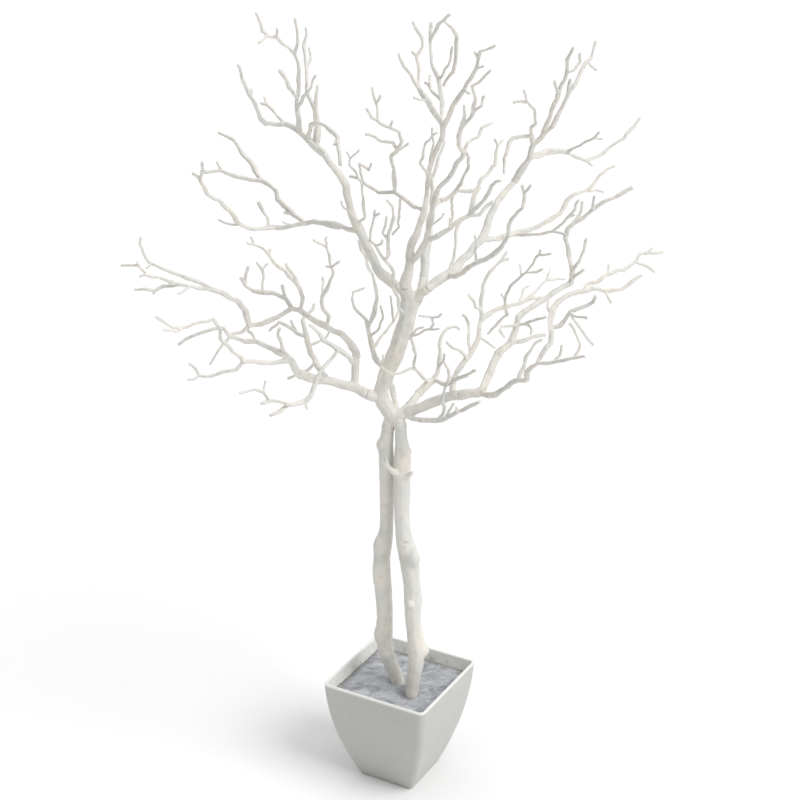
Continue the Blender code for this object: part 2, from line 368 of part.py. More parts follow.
        ("23.25,91.7 24.5,92.05", 0.5, 0.19, 0.17),
    ]),
    "upper_right_top": ("upper_right_limb", "15.8,96.9", 0, [
        ("15.8,96.9 16.5,97.95 17.15,98.95 17.8,99.95 18.2,101.1 18.4,102.1 19.0,102.8 19.6,103.4 20.8,104.5 "
         "21.5,105.7 21.9,106.7 22.3,107.7 22.7,109.0 22.95,110.3 23.3,111.2", 4.0, 0.42, 0.20),
        ("22.7,109.0 23.5,109.9 24.1,111.2 24.5,112.4 25.2,113.5 25.7,113.9 26.0,114.8 "
         "26.2,116.3", 8.0, 0.26, 0.20),
        ("25.2,113.5 26.0,112.9 26.6,112.3", 8.5, 0.20, 0.18),
        ("19.6,103.4 20.0,104.6 20.35,105.8 20.7,107.05 21.1,108.1 21.5,109.3 22.2,110.7 22.6,112.1 "
         "22.6,113.9 "
         "23.45,115.5", 0.0, 0.34, 0.20),
        ("21.5,109.3 20.9,110.9", 1.0, 0.20, 0.19),
        ("22.6,112.1 23.5,112.4 24.3,113.5 24.4,114.8", 2.0, 0.22, 0.19),
        ("18.4,102.1 17.9,103.2 16.5,103.3 15.5,103.05 15.0,102.4 14.7,101.5 14.4,100.3 14.6,99.0 14.4,97.9",
         2.0, 0.34, 0.20),
        ("17.9,103.2 18.0,104.4 18.5,105.2 18.6,106.1 18.3,107.0 17.4,107.95 16.5,108.05 "
         "15.5,107.9", -1.0, 0.24, 0.19),
        ("17.4,107.95 16.8,109.6", -2.0, 0.20, 0.17),
        ("17.8,99.95 18.8,100.6 19.7,100.9", 7.5, 0.42, 0.42),
    ]),
    "upper_right_end": ("upper_right_top", "19.7,100.9", 0, [
        ("19.7,100.9 20.6,101.1 21.8,101.2 23.1,101.1", 8.5, 0.42, 0.36),
        ("23.1,101.1 24.0,101.8 25.0,102.25 26.75,103.1 27.35,103.9", 5.0, 0.26, 0.18),
        ("26.75,103.1 27.7,102.9", 6.0, 0.20, 0.18),
        ("23.1,101.1 24.4,100.5 25.7,99.85 27.1,100.35 28.4,101.2 29.6,102.25 30.8,103.1 31.1,103.8 "
         "32.1,104.7 "
         "32.85,105.8", 14.0, 0.28, 0.20),
        ("25.7,99.85 26.5,99.0", 10.0, 0.22, 0.18),
    ]),
    "right_low_limb": ("crown_fork", "8.6,64.85", 1, [
        ("8.6,64.85 9.6,64.95 10.8,65.0 11.8,65.1", -3.0, 0.80, 0.76),
        ("11.8,65.1 12.15,66.3 12.55,67.5 13.05,68.8 13.6,70.1 14.15,71.1", 0.0, 0.62, 0.54),
        ("11.8,65.1 12.8,64.65 13.9,64.75 14.8,65.35 15.6,66.0", -6.0, 0.50, 0.42),
    ]),
    "right_mid_spray": ("right_low_limb", "14.15,71.1", 0, [
        ("14.15,71.1 14.7,71.7 15.3,72.2 15.9,72.8 16.3,73.7 16.6,74.7 16.75,75.7 17.0,76.8 17.8,77.7 "
         "18.6,78.3 "
         "19.6,78.95 20.7,79.65 21.4,80.1 22.4,80.65 23.3,81.3 24.1,82.0", 7.0, 0.50, 0.34),
        ("15.9,72.8 17.3,73.2 18.4,73.6 19.6,73.9 20.9,74.1", 4.0, 0.36, 0.25),
        ("16.75,75.7 17.8,75.75 18.7,76.3 19.7,76.65 21.0,76.9", 1.0, 0.25, 0.20),
        ("17.8,75.75 18.6,75.3 18.95,74.9 18.95,74.1", 1.0, 0.19, 0.17),
        ("16.75,75.7 15.6,75.65 14.6,75.6 14.35,74.9 15.1,73.7", -1.0, 0.22, 0.18),
    ]),
    "right_high_spray": ("right_mid_spray", "24.1,82.0", 0, [
        ("24.1,82.0 24.5,82.8 24.6,83.85 24.25,85.35 23.8,86.5 23.5,87.5 23.25,88.6 23.65,90.1 24.5,90.9 "
         "25.2,91.5 "
         "25.95,92.1 26.8,92.8 27.7,93.5 29.25,94.35 30.95,95.35 32.4,96.0", 6.0, 0.33, 0.24),
        ("26.8,92.8 26.9,93.9 27.2,94.9", 5.0, 0.21, 0.18),
        ("24.5,90.9 25.2,92.4 25.5,94.0", 7.5, 0.20, 0.18),
        ("24.6,83.85 25.4,85.4 25.8,86.5 26.0,87.6 26.15,88.7", 3.5, 0.24, 0.20),
        ("24.5,82.8 25.4,83.5 26.2,84.15", 6.0, 0.25, 0.22),
    ]),
    "right_low_spray": ("right_low_limb", "15.6,66.0", 0, [
        ("15.6,66.0 16.5,66.7 17.3,67.2 18.4,67.25", -8.0, 0.42, 0.36),
        ("17.3,67.2 17.7,68.6 18.0,70.0 18.3,71.1 18.9,72.0 19.6,72.95 20.6,73.5", -4.5, 0.28, 0.20),
        ("18.4,67.25 18.6,68.5 19.2,69.2 20.0,69.7 21.0,69.65 22.2,69.9 23.3,70.3 25.1,70.55 26.8,70.9",
         -13.0, 0.33, 0.20),
        ("25.1,70.55 25.8,71.8 26.0,72.8 25.4,74.0 25.0,75.1 24.4,76.0", -11.0, 0.21, 0.17),
        ("22.2,69.9 23.1,71.3 23.35,72.6", -10.0, 0.21, 0.18),
        ("20.0,69.7 20.5,71.2 21.1,72.1 21.7,73.0 21.85,74.2", -8.0, 0.36, 0.38),
    ]),
    "right_inner_spray": ("right_low_spray", "21.85,74.2", 0, [
        ("21.85,74.2 21.8,75.2 21.6,76.2 21.7,77.2 22.0,78.1 22.5,79.0 23.4,79.8 "
         "24.4,80.4", -4.0, 0.38, 0.37),
        ("21.8,75.2 22.9,75.6 23.6,76.4 24.4,77.5 25.8,78.4 26.8,78.85 27.5,79.35 "
         "28.1,80.3", -8.0, 0.33, 0.25),
        ("24.4,77.5 25.6,76.95 26.95,76.7", -10.0, 0.21, 0.18),
        ("24.4,77.5 24.9,76.4 26.0,75.2 26.75,74.2 27.95,72.55", -5.0, 0.22, 0.18),
        ("21.7,77.2 21.3,78.2 21.2,79.3", -5.0, 0.21, 0.18),
    ]),
    "right_far_spray": ("right_inner_spray", "24.4,80.4", 0, [
        ("24.4,80.4 25.2,80.8 26.1,81.0 27.3,81.15 28.4,81.0 29.5,80.95 30.6,81.1 31.75,81.2 33.0,82.35 "
         "34.35,83.25",
         -1.5, 0.34, 0.19),
        ("29.5,80.95 29.8,79.8 30.35,78.9", -4.0, 0.20, 0.18),
        ("26.1,81.0 26.5,81.6 27.0,81.9 27.9,82.05 28.5,82.5 29.5,83.4 30.35,83.85 31.75,84.0 33.2,85.05 "
         "34.1,86.4 "
         "35.05,86.6 37.0,86.6", 5.0, 0.28, 0.20),
        ("29.5,83.4 29.45,84.8", 1.0, 0.20, 0.18),
        ("33.2,85.05 34.9,84.6 36.0,83.8", 3.0, 0.22, 0.19),
        ("35.05,86.6 35.7,87.4", 4.0, 0.19, 0.17),
    ]),
    "vine_spray": ("crown_fork", "2.7,65.0", 0, [
        ("2.7,65.0 3.4,65.9 4.2,66.7 5.0,67.2", 3.0, 0.54, 0.42),
        ("4.2,66.7 3.4,67.8 2.4,68.7 1.6,69.0 0.6,68.6 -0.4,68.0 -1.2,67.9 -2.0,68.5 -2.7,69.3 -2.4,71.1",
         -4.0, 0.25, 0.18),
        ("2.4,68.7 2.1,70.0 2.15,71.4 1.75,73.0 1.8,74.1 2.3,75.1 3.4,75.35", -3.5, 0.22, 0.20),
        ("1.8,74.1 2.7,74.2 3.5,74.8 4.3,75.1 5.65,75.1", -4.5, 0.20, 0.17),
        ("4.3,75.1 4.8,75.9 4.7,76.7 4.0,77.05 2.9,77.15", -5.5, 0.20, 0.18),
        ("4.7,76.7 5.5,76.95 5.9,77.35", -6.5, 0.18, 0.17),
        ("5.0,67.2 5.4,68.2 5.7,69.4 5.6,71.1 5.6,72.6 6.0,74.0 6.5,74.8 7.2,75.3 7.9,75.45 8.5,75.0",
         7.0, 0.30, 0.20),
        ("5.7,69.4 6.4,70.2 6.5,71.3", 3.0, 0.22, 0.18),
        ("5.0,67.2 5.9,66.6 6.9,66.5 8.05,66.95 9.2,67.6 10.3,68.05 11.0,68.7", -6.0, 0.29, 0.23),
    ]),
    "low_front_spray": ("crown_fork", "2.9,60.84", 0, [
        ("2.9,60.84 4.0,60.75 5.4,60.7 6.6,60.95 7.5,61.5 8.4,62.1 9.3,62.5 10.2,62.85 10.9,63.4 11.6,63.9",
         -8.0, 0.38, 0.27),
        ("5.4,60.7 6.35,61.7 6.5,62.8 6.25,63.7 6.25,64.6 6.5,65.6 6.9,66.5 7.15,67.6 7.05,68.8 6.5,69.7",
         -6.0, 0.26, 0.20),
        ("6.6,60.95 7.3,62.4 8.0,63.6", -6.5, 0.20, 0.17),
        ("8.4,62.1 8.3,63.0", -7.5, 0.18, 0.17),
    ]),
    "mid_low_spray": ("crown_fork", "7.9,67.4", 0, [
        ("7.9,67.4 8.4,68.5 8.95,69.4 9.6,70.3 10.2,71.2 10.7,72.1 11.1,73.0 11.4,73.9 11.55,75.0 11.6,76.2",
         7.0, 0.44, 0.36),
        ("11.6,76.2 11.6,78.0 11.6,80.0 11.75,81.7 12.2,82.8 12.8,83.85 13.45,84.6 14.2,85.3 15.4,85.6",
         9.0, 0.30, 0.20),
        ("14.2,85.3 15.1,86.6", 9.5, 0.19, 0.17),
        ("11.6,78.0 10.9,78.4 10.35,79.35 9.75,80.4", 5.0, 0.22, 0.18),
        ("10.2,71.2 9.9,73.0 9.85,74.6 9.9,76.0 9.4,76.95 8.8,77.45", 9.0, 0.25, 0.21),
        ("9.6,70.3 9.1,71.4 8.4,71.95 7.6,72.1 6.5,73.1", 2.5, 0.22, 0.18),
        ("11.4,73.9 12.4,73.0 13.75,72.0", 6.5, 0.20, 0.17),
        ("11.6,76.2 12.1,77.0 12.9,77.6", 11.0, 0.34, 0.33),
    ]),
    "mid_fan_spray": ("mid_low_spray", "12.9,77.6", 0, [
        ("12.9,77.6 13.9,78.05 15.1,78.25 16.1,78.6 17.0,79.05 18.0,79.5 19.0,79.8 "
         "20.4,80.0", 14.0, 0.33, 0.22),
        ("15.1,78.25 15.0,79.5 15.2,80.55 15.6,81.4 16.3,82.2 17.1,83.0 17.95,83.65 19.4,83.75 20.35,84.15",
         10.0, 0.24, 0.18),
        ("17.95,83.65 18.5,84.6 19.1,85.45 19.6,86.1 20.5,86.3 21.3,86.35", 8.0, 0.20, 0.17),
        ("19.6,86.1 19.8,87.0", 8.5, 0.17, 0.16),
        ("17.1,83.0 17.05,84.75", 12.0, 0.18, 0.17),
        ("15.0,79.5 14.45,80.4", 13.0, 0.18, 0.17),
        ("17.0,79.05 17.5,80.2 17.7,81.2 18.4,81.6", 16.0, 0.20, 0.17),
        ("18.0,79.5 18.9,80.35 19.6,81.0 20.2,81.9 20.8,82.4 21.9,82.6 23.5,82.7", 17.0, 0.21, 0.17),
        ("20.8,82.4 21.05,83.4 21.4,84.1", 17.0, 0.17, 0.16),
        ("15.1,78.25 15.3,77.3 14.7,76.5 13.95,75.85 13.2,75.0 12.6,74.3", 15.0, 0.27, 0.20),
    ]),
}


# --- scene and materials ---------------------------------------------------------------------------------------


def clear_scene():
    for ob in list(bpy.data.objects):
        bpy.data.objects.remove(ob)


def new_collection(name):
    collection = bpy.data.collections.new(name)
    bpy.context.scene.collection.children.link(collection)
    return collection


def material(name, look):
    colour, roughness, metallic = MATERIALS[look]
    made = bpy.data.materials.new(name + "_" + look)
    made.use_nodes = True
    shader = made.node_tree.nodes["Principled BSDF"]
    shader.inputs["Base Color"].default_value = (*colour, 1.0)
    shader.inputs["Roughness"].default_value = roughness
    shader.inputs["Metallic"].default_value = metallic
    made.diffuse_color = (*colour, 1.0)
    return made


def new_object(name, mesh, origin=Vector((0, 0, 0)), look=None, helper=False):
    """A mesh given in world places, held by an object whose origin is at the given point."""
    mesh.transform(Matrix.Translation(-origin))
    ob = bpy.data.objects.new(name, mesh)
    ob.location = origin
    (CUTTERS if helper else PARTS).objects.link(ob)
    if look:
        mesh.materials.append(material(name, look))
    if helper:
        ob.hide_render = True
        ob.display_type = "WIRE"
    return ob


def boolean(ob, other, operation):
    made = ob.modifiers.new(operation.lower() + "_" + other.name, "BOOLEAN")
    made.operation = operation
    made.object = other
    made.solver = "EXACT"


def smooth(mesh):
    for face in mesh.polygons:
        face.use_smooth = True


# --- places ----------------------------------------------------------------------------------------------------


def growth():
    """How much the tree above the cement is enlarged from the drawn one."""
    return (TREE_HEIGHT - CEMENT_TOP) / (DRAWN_HEIGHT - DRAWN_CEMENT)


def placed(x, z, depth):
    """The point at this depth that falls on (x, z) of the front plane when seen from the eye; all in cm."""
    drawn = Vector((x * CM, 0.0, z * CM))
    share = (depth * CM - EYE.y) / -EYE.y
    point = EYE + (drawn - EYE) * share
    point.z -= DRAWN_CEMENT
    point *= growth()
    point.z += CEMENT_TOP
    return point


def parsed(text):
    return [tuple(float(n) for n in pair.split(",")) for pair in text.split()]


# --- pot and cement --------------------------------------------------------------------------------------------


def pot_half_side(z):
    """Half the side of the pot's outside at a height: a straight taper with a slight outward bow."""
    share = z / POT_HEIGHT
    low = POT_SIDE * POT_BASE_RATIO
    chord = low + (POT_SIDE - low) * share
    return chord / 2 + POT_BULGE * 4 * share * (1 - share)


def tapered_block(levels, corner):
    """A square block of stacked levels (height, half side), its upright corners rounded."""
    bm = bmesh.new()
    bmesh.ops.create_grid(bm, x_segments=1, y_segments=1, size=levels[0][1])
    bmesh.ops.translate(bm, vec=(0, 0, levels[0][0]), verts=bm.verts)
    bmesh.ops.reverse_faces(bm, faces=bm.faces)
    top = list(bm.faces)
    for (z0, half0), (z1, half1) in zip(levels, levels[1:]):
        grown = bmesh.ops.extrude_face_region(bm, geom=top)["geom"]
        if z0 > levels[0][0]:
            bmesh.ops.delete(bm, geom=top, context="FACES_ONLY")
        verts = [item for item in grown if isinstance(item, bmesh.types.BMVert)]
        bmesh.ops.scale(bm, vec=(half1 / half0, half1 / half0, 1), verts=verts)
        bmesh.ops.translate(bm, vec=(0, 0, z1 - z0), verts=verts)
        top = [item for item in grown if isinstance(item, bmesh.types.BMFace)]
    bmesh.ops.recalc_face_normals(bm, faces=bm.faces)
    upright = [e for e in bm.edges if abs(e.verts[0].co.z - e.verts[1].co.z) > 1e-5]
    bmesh.ops.bevel(bm, geom=upright, offset=corner, segments=3, profile=0.5, affect="EDGES")
    return bm


def turned_mesh(bm, name):
    bmesh.ops.rotate(bm, matrix=Matrix.Rotation(math.radians(POT_TURN), 3, "Z"), verts=bm.verts)
    mesh = bpy.data.meshes.new(name)
    bm.to_mesh(mesh)
    bm.free()
    return mesh


def heights(low, high, count):
    return [low + (high - low) * i / count for i in range(count + 1)]


def inner_levels(low, inset):
    """The pot's inside up to the cement's top, as levels drawn in by a fit."""
    return [(z, pot_half_side(z) - POT_WALL - inset) for z in [low] + heights(POT_FLOOR, CEMENT_TOP, 4)[1:]]


def make_pot():
    outside = tapered_block([(z, pot_half_side(z)) for z in heights(0, POT_HEIGHT, 6)], CORNER_ROUND)
    pot = new_object("pot_shell", turned_mesh(outside, "pot_shell"), look="pot_plastic")
    over = POT_HEIGHT + 0.02
    rim = pot_half_side(POT_HEIGHT) - POT_WALL
    levels = inner_levels(POT_FLOOR, 0.0) + [(POT_HEIGHT, rim), (over, rim)]
    hollow = tapered_block(levels, CORNER_ROUND - POT_WALL / 2)
    boolean(pot, new_object("pot_hollow", turned_mesh(hollow, "pot_hollow"), helper=True), "DIFFERENCE")
    lip = pot.modifiers.new("rim_round", "BEVEL")
    lip.width = RIM_ROUND
    lip.segments = 2
    lip.limit_method = "ANGLE"
    lip.angle_limit = math.radians(50)
    return pot


def cement_lump(x, y):
    """Height of the hand-poured surface above its mean level."""
    broad = noise.noise(Vector((x, y, 0.3)) * 38)
    fine = noise.noise(Vector((x, y, 4.1)) * 110)
    return 0.0028 * broad + 0.0012 * fine - 0.002


def make_cement():
    levels = inner_levels(POT_FLOOR + RIM_ROUND + GAP, GAP)
    levels = [(POT_FLOOR + GAP, levels[0][1] - RIM_ROUND)] + levels
    bm = tapered_block(levels, CORNER_ROUND)
    lid = [f for f in bm.faces if f.normal.z > 0.9]
    bmesh.ops.inset_region(bm, faces=lid, thickness=0.006, depth=0.0)
    bmesh.ops.triangulate(bm, faces=[f for f in bm.faces if len(f.verts) > 4 and f.normal.z > 0.9])
    for _ in range(3):
        lid = [f for f in bm.faces if f.normal.z > 0.9]
        inner = {e for f in lid for e in f.edges if all(o.normal.z > 0.9 for o in e.link_faces)}
        inner = [e for e in inner if e.calc_length() > 0.021]
        bmesh.ops.subdivide_edges(bm, edges=inner, cuts=1)
        bmesh.ops.triangulate(bm, faces=[f for f in bm.faces if f.normal.z > 0.9 and len(f.verts) > 3])
    edge = {v for e in bm.edges if any(f.normal.z < 0.9 for f in e.link_faces) for v in e.verts}
    for vert in bm.verts:
        if vert not in edge:
            vert.co.z += cement_lump(vert.co.x, vert.co.y)
    return new_object("cement_fill", turned_mesh(bm, "cement_fill"), look="cement")


# --- branches --------------------------------------------------------------------------------------------------


def new_skeleton():
    return {"points": [], "radii": [], "edges": [], "drawn": [], "runs": [], "ends": {}}


def add_point(skeleton, point, radius, drawn, before=None):
    skeleton["points"].append(point)
    skeleton["radii"].append(radius)
    skeleton["drawn"].append(drawn)
    index = len(skeleton["points"]) - 1
    if before is None:
        skeleton["runs"].append([index])
    else:
        join_points(skeleton, before, index)
    return index


def join_points(skeleton, before, index):
    """Carries the run that ends at a point on to the next one, or starts a side run there."""
    skeleton["edges"].append((before, index))
    for run in skeleton["runs"]:
        if run[-1] == before:
            run.append(index)
            return
    skeleton["runs"].append([before, index])


def nearest(skeleton, x, z):
    def apart(index):
        drawn = skeleton["drawn"][index]
        return (drawn[0] - x) ** 2 + (drawn[1] - z) ** 2

    return min(range(len(skeleton["points"])), key=apart)


def add_strand(skeleton, text, depth, thick, thin, before=None):
    """Draws on from the nearest point already there, or from the given one, to the strand's last point."""
    drawn = parsed(text)
    if before is None:
        before = nearest(skeleton, *drawn[0])
    start = skeleton["drawn"][before]
    spans = [math.dist(a, b) for a, b in zip(drawn, drawn[1:])]
    run = 0.0
    for span, (x, z) in zip(spans, drawn[1:]):
        run += span
        share = run / sum(spans)
        here = start[2] + (depth * CROWN_DEPTH - start[2]) * share
        radius = (thick + (thin - thick) * share) * CM * growth()
        before = add_point(skeleton, placed(x, z, here), radius, (x, z, here), before)
    return before


def end_line(skeleton, index):
    """Where a strand's last point is, and which way the strand runs there."""
    before = next(a for a, b in skeleton["edges"] if b == index)
    point = skeleton["points"][index]
    return point.copy(), (point - skeleton["points"][before]).normalized()


def close_end(skeleton, index):
    """Draws the end of a strand back by half the seam,
    after a short straight run that keeps its face flat."""
    point, way = end_line(skeleton, index)
    skeleton["points"][index] = point - way * GAP / 2
    skeleton["points"].append(point - way * SUPPORT)
    skeleton["radii"].append(skeleton["radii"][index])
    run = next(run for run in skeleton["runs"] if run[-1] == index)
    run.insert(-1, len(skeleton["points"]) - 1)


def open_start(skeleton, point, way, radius, drawn, run=None):
    """Starts a strand half a seam past its parent's end, with a straight run of its own."""
    first = add_point(skeleton, point + way * GAP / 2, radius, (1e6, 1e6, drawn[2]))
    return add_point(skeleton, point + way * (run or SUPPORT), radius, drawn, first)


def tube(skeleton, run, rounded, grow, side):
    """One run of a skeleton as a closed skin; a side run starts slimmer, inside the run it leaves."""
    radii = [skeleton["radii"][index] for index in run]
    if side:
        radii[0] = min(radii[0] * 0.78, radii[1])
    mesh = bpy.data.meshes.new("run")
    edges = [(i, i + 1) for i in range(len(run) - 1)]
    mesh.from_pydata([skeleton["points"][index] for index in run], edges, [])
    ob = bpy.data.objects.new("run", mesh)
    PARTS.objects.link(ob)
    skin = ob.modifiers.new("bark", "SKIN")
    skin.branch_smoothing = 0.0
    skin.use_x_symmetry = False
    skin.use_smooth_shade = True
    for index, vert in enumerate(mesh.skin_vertices[0].data):
        radius = girth(radii[index], rounded) + grow
        vert.radius = (radius, radius)
        vert.use_root = index == 0
    if rounded:
        rounding = ob.modifiers.new("rounding", "SUBSURF")
        rounding.levels = 1
        rounding.render_levels = 1
    return ob


def merge_flats(ob):
    """Joins the faces of a run that lie almost in one plane."""
    flats = ob.modifiers.new("flats", "DECIMATE")
    flats.decimate_type = "DISSOLVE"
    flats.angle_limit = math.radians(FLAT_ANGLE)


def evaluated_mesh(ob):
    bpy.context.view_layer.update()
    return bpy.data.meshes.new_from_object(ob.evaluated_get(bpy.context.evaluated_depsgraph_get()))


def grown_mesh(name, skeleton, rounded, grow=0.0, flats=True):
    """All the runs of a skeleton, joined where they leave one another."""
    tubes = [tube(skeleton, run, rounded, grow, i > 0) for i, run in enumerate(skeleton["runs"])]
    joined = tubes[0]
    for other in tubes[1:]:
        boolean(joined, other, "UNION")
    if flats:
        merge_flats(joined)
    mesh = evaluated_mesh(joined)
    mesh.name = name
    for ob in tubes:
        bpy.data.objects.remove(ob)
    smooth(mesh)
    return mesh


def rod_between(name, start, end, radius):
    """A round pin or a drill for one, along a line."""
    bm = bmesh.new()
    bmesh.ops.create_cone(bm, cap_ends=True, segments=PIN_SIDES, radius1=radius, radius2=radius,
                          depth=(end - start).length)
    turn = (end - start).to_track_quat("Z", "Y").to_matrix().to_4x4()
    bmesh.ops.transform(bm, matrix=Matrix.Translation((start + end) / 2) @ turn, verts=bm.verts)
    mesh = bpy.data.meshes.new(name)
    bm.to_mesh(mesh)
    bm.free()
    return new_object(name, mesh, helper=True)


def girth(radius, rounded):
    """Skin radius that gives a branch of this radius."""
    return radius * (SKIN_GAIN if rounded else SQUARE_GAIN)


def make_skeletons():
    """Every branch piece as points, edges and radii, each spray started at its parent's end."""
    skeletons = {}
    for name, rows in (("left_trunk", LEFT_TRUNK), ("right_trunk", RIGHT_TRUNK)):
        skeleton = new_skeleton()
        before = None
        for x, z, depth, radius in rows:
            thickness = radius * CM * growth() * TRUNK_GIRTH
            before = add_point(skeleton, placed(x, z, depth), thickness, (x, z, depth), before)
        skeleton["top"] = before
        skeletons[name] = skeleton
    for text, depth, thick, thin in TRUNK_TWIGS:
        add_strand(skeletons["right_trunk"], text, depth, thick, thin)
    fork = new_skeleton()
    node = None
    for side in ("left_trunk", "right_trunk"):
        trunk = skeletons[side]
        point, way = end_line(trunk, trunk["top"])
        radius = trunk["radii"][trunk["top"]]
        leg = open_start(fork, point, way, radius, (1e6, 1e6, 0.0), LEG_RUN)
        if node is None:
            node = add_point(fork, placed(-0.85, 61.4, 0.0), 1.35 * CM * growth(), (-0.85, 61.4, 0.0), leg)
        else:
            join_points(fork, leg, node)
        trunk["closed"] = (point, way)
        close_end(trunk, trunk["top"])
    for text, depth, thick, thin in CROWN_FORK:
        add_strand(fork, text, depth, thick, thin)
    skeletons["crown_fork"] = fork
    for name, (parent, seam, _, strands) in SPRAYS.items():
        skeletons[name] = spray_skeleton(name, skeletons[parent], seam, strands)
    for skeleton in skeletons.values():
        for index in skeleton["ends"].values():
            close_end(skeleton, index)
    return skeletons


def spray_skeleton(name, parent, seam, strands):
    x, z = parsed(seam)[0]
    index = nearest(parent, x, z)
    point, way = end_line(parent, index)
    radius = parent["radii"][index]
    drawn = parent["drawn"][index]
    if math.dist(drawn[:2], (x, z)) > 0.01:
        raise ValueError(name + " starts where its parent has no end")
    skeleton = new_skeleton()
    skeleton["seam"] = (point, way, radius)
    open_start(skeleton, point, way, radius, (x, z, drawn[2]))
    for strand in strands:
        add_strand(skeleton, *strand)
    parent["ends"][name] = index
    return skeleton


def make_pegs(name, ob, parent, seam):
    """The round peg of a spray, and the bore for it in its parent's end."""
    point, way, radius = seam
    peg = radius * PEG_RATIO
    bore = peg / math.cos(math.pi / PIN_SIDES) + GAP
    boolean(ob, rod_between(name + "_peg", point - way * PEG_LENGTH, point + way * 0.004, peg), "UNION")
    drill = rod_between(name + "_bore", point - way * (PEG_LENGTH + 0.001), point + way * 0.003, bore)
    boolean(parent, drill, "DIFFERENCE")


def rod_line(trunk):
    """The line of a trunk's rod: a foot bent into the cement,
    the trunk's own line, and a stub above its top."""
    low = trunk["points"][0] - Vector((0, 0, 0.010))
    top = trunk["top"]
    point, way = trunk["closed"]
    middle = trunk["points"][:top - 1:ROD_STEP] + [trunk["points"][top - 1]]
    foot = low + Vector((0.8, 0.6, -0.15)) * ROD_FOOT
    return [foot, low] + middle + [point + way * (LEG_RUN - 0.001)]


def round_bar(name, line, radius, longer=0.0):
    """A round bar along a line of points, drawn as a bevelled curve; it may run on past the line's ends."""
    line = [point.copy() for point in line]
    line[0] += (line[0] - line[1]).normalized() * longer
    line[-1] += (line[-1] - line[-2]).normalized() * longer
    curve = bpy.data.curves.new(name, "CURVE")
    curve.dimensions = "3D"
    curve.bevel_depth = radius
    curve.bevel_resolution = 2
    curve.use_fill_caps = True
    spline = curve.splines.new("POLY")
    spline.points.add(len(line) - 1)
    for place, point in zip(spline.points, line):
        place.co = (*point, 1.0)
    ob = bpy.data.objects.new(name, curve)
    PARTS.objects.link(ob)
    mesh = evaluated_mesh(ob)
    bpy.data.objects.remove(ob)
    bm = bmesh.new()
    bm.from_mesh(mesh)
    bmesh.ops.remove_doubles(bm, verts=bm.verts, dist=0.00001)
    bmesh.ops.recalc_face_normals(bm, faces=bm.faces)
    bm.to_mesh(mesh)
    bm.free()
    return mesh


def lower_part(trunk, height):
    """The buried length of a trunk, for the hole it leaves in the cement."""
    low = new_skeleton()
    start = trunk["points"][0] - Vector((0, 0, GAP * 2))
    before = add_point(low, start, trunk["radii"][0], None)
    for point, radius in list(zip(trunk["points"], trunk["radii"]))[1:trunk["top"]]:
        before = add_point(low, point, radius, None, before)
        if point.z > height:
            break
    return low


def make_trunks(skeletons, fork, cement):
    for side in ("left", "right"):
        trunk = skeletons[side + "_trunk"]
        bark = grown_mesh(side + "_trunk", trunk, True, flats=False)
        ob = new_object(side + "_trunk", bark, trunk["points"][0], "branch_plastic")
        line = rod_line(trunk)
        radius = ROD_DIAMETER / 2
        passage = round_bar("channel", line, radius + GAP * 1.3, GAP * 2)
        channel = new_object(side + "_channel", passage, helper=True)
        boolean(ob, channel, "DIFFERENCE")
        boolean(cement, channel, "DIFFERENCE")
        buried = grown_mesh("hole", lower_part(trunk, CEMENT_TOP + 0.02), True, GAP * 1.5, False)
        boolean(cement, new_object(side + "_hole", buried, helper=True), "DIFFERENCE")
        point, way = trunk["closed"]
        reach = radius / math.cos(math.pi / PIN_SIDES) + GAP
        drill = rod_between(side + "_socket", point - way * 0.004, point + way * LEG_RUN, reach)
        boolean(fork, drill, "DIFFERENCE")
        core = round_bar(side + "_core_rod", line, radius)
        smooth(core)
        new_object(side + "_core_rod", core, line[1], "rod_steel")


def make_branches(cement):
    skeletons = make_skeletons()
    made = {}
    fork_mesh = grown_mesh("crown_fork", skeletons["crown_fork"], True)
    fork = new_object("crown_fork", fork_mesh, skeletons["crown_fork"]["points"][0], "branch_plastic")
    made["crown_fork"] = fork
    make_trunks(skeletons, fork, cement)
    for name, (parent, _, rounded, _) in SPRAYS.items():
        skeleton = skeletons[name]
        mesh = grown_mesh(name, skeleton, bool(rounded))
        ob = new_object(name, mesh, skeleton["seam"][0], "branch_plastic")
        made[name] = ob
        make_pegs(name, ob, made[parent], skeleton["seam"])


def main():
    make_pot()
    make_branches(make_cement())


clear_scene()
PARTS = new_collection("artificial_tabletop_tree")
CUTTERS = new_collection("cutters")
main()
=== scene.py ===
# %% [markdown]
# An artificial tabletop tree: a square plastic pot filled with cement, two moulded trunks standing in it, and a crown
# of plug-in branch mouldings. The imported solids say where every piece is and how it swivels. They could be shown as
# they are, but their branches are plain faceted tubes, so each branch is regrown here as a skin with bark on it.

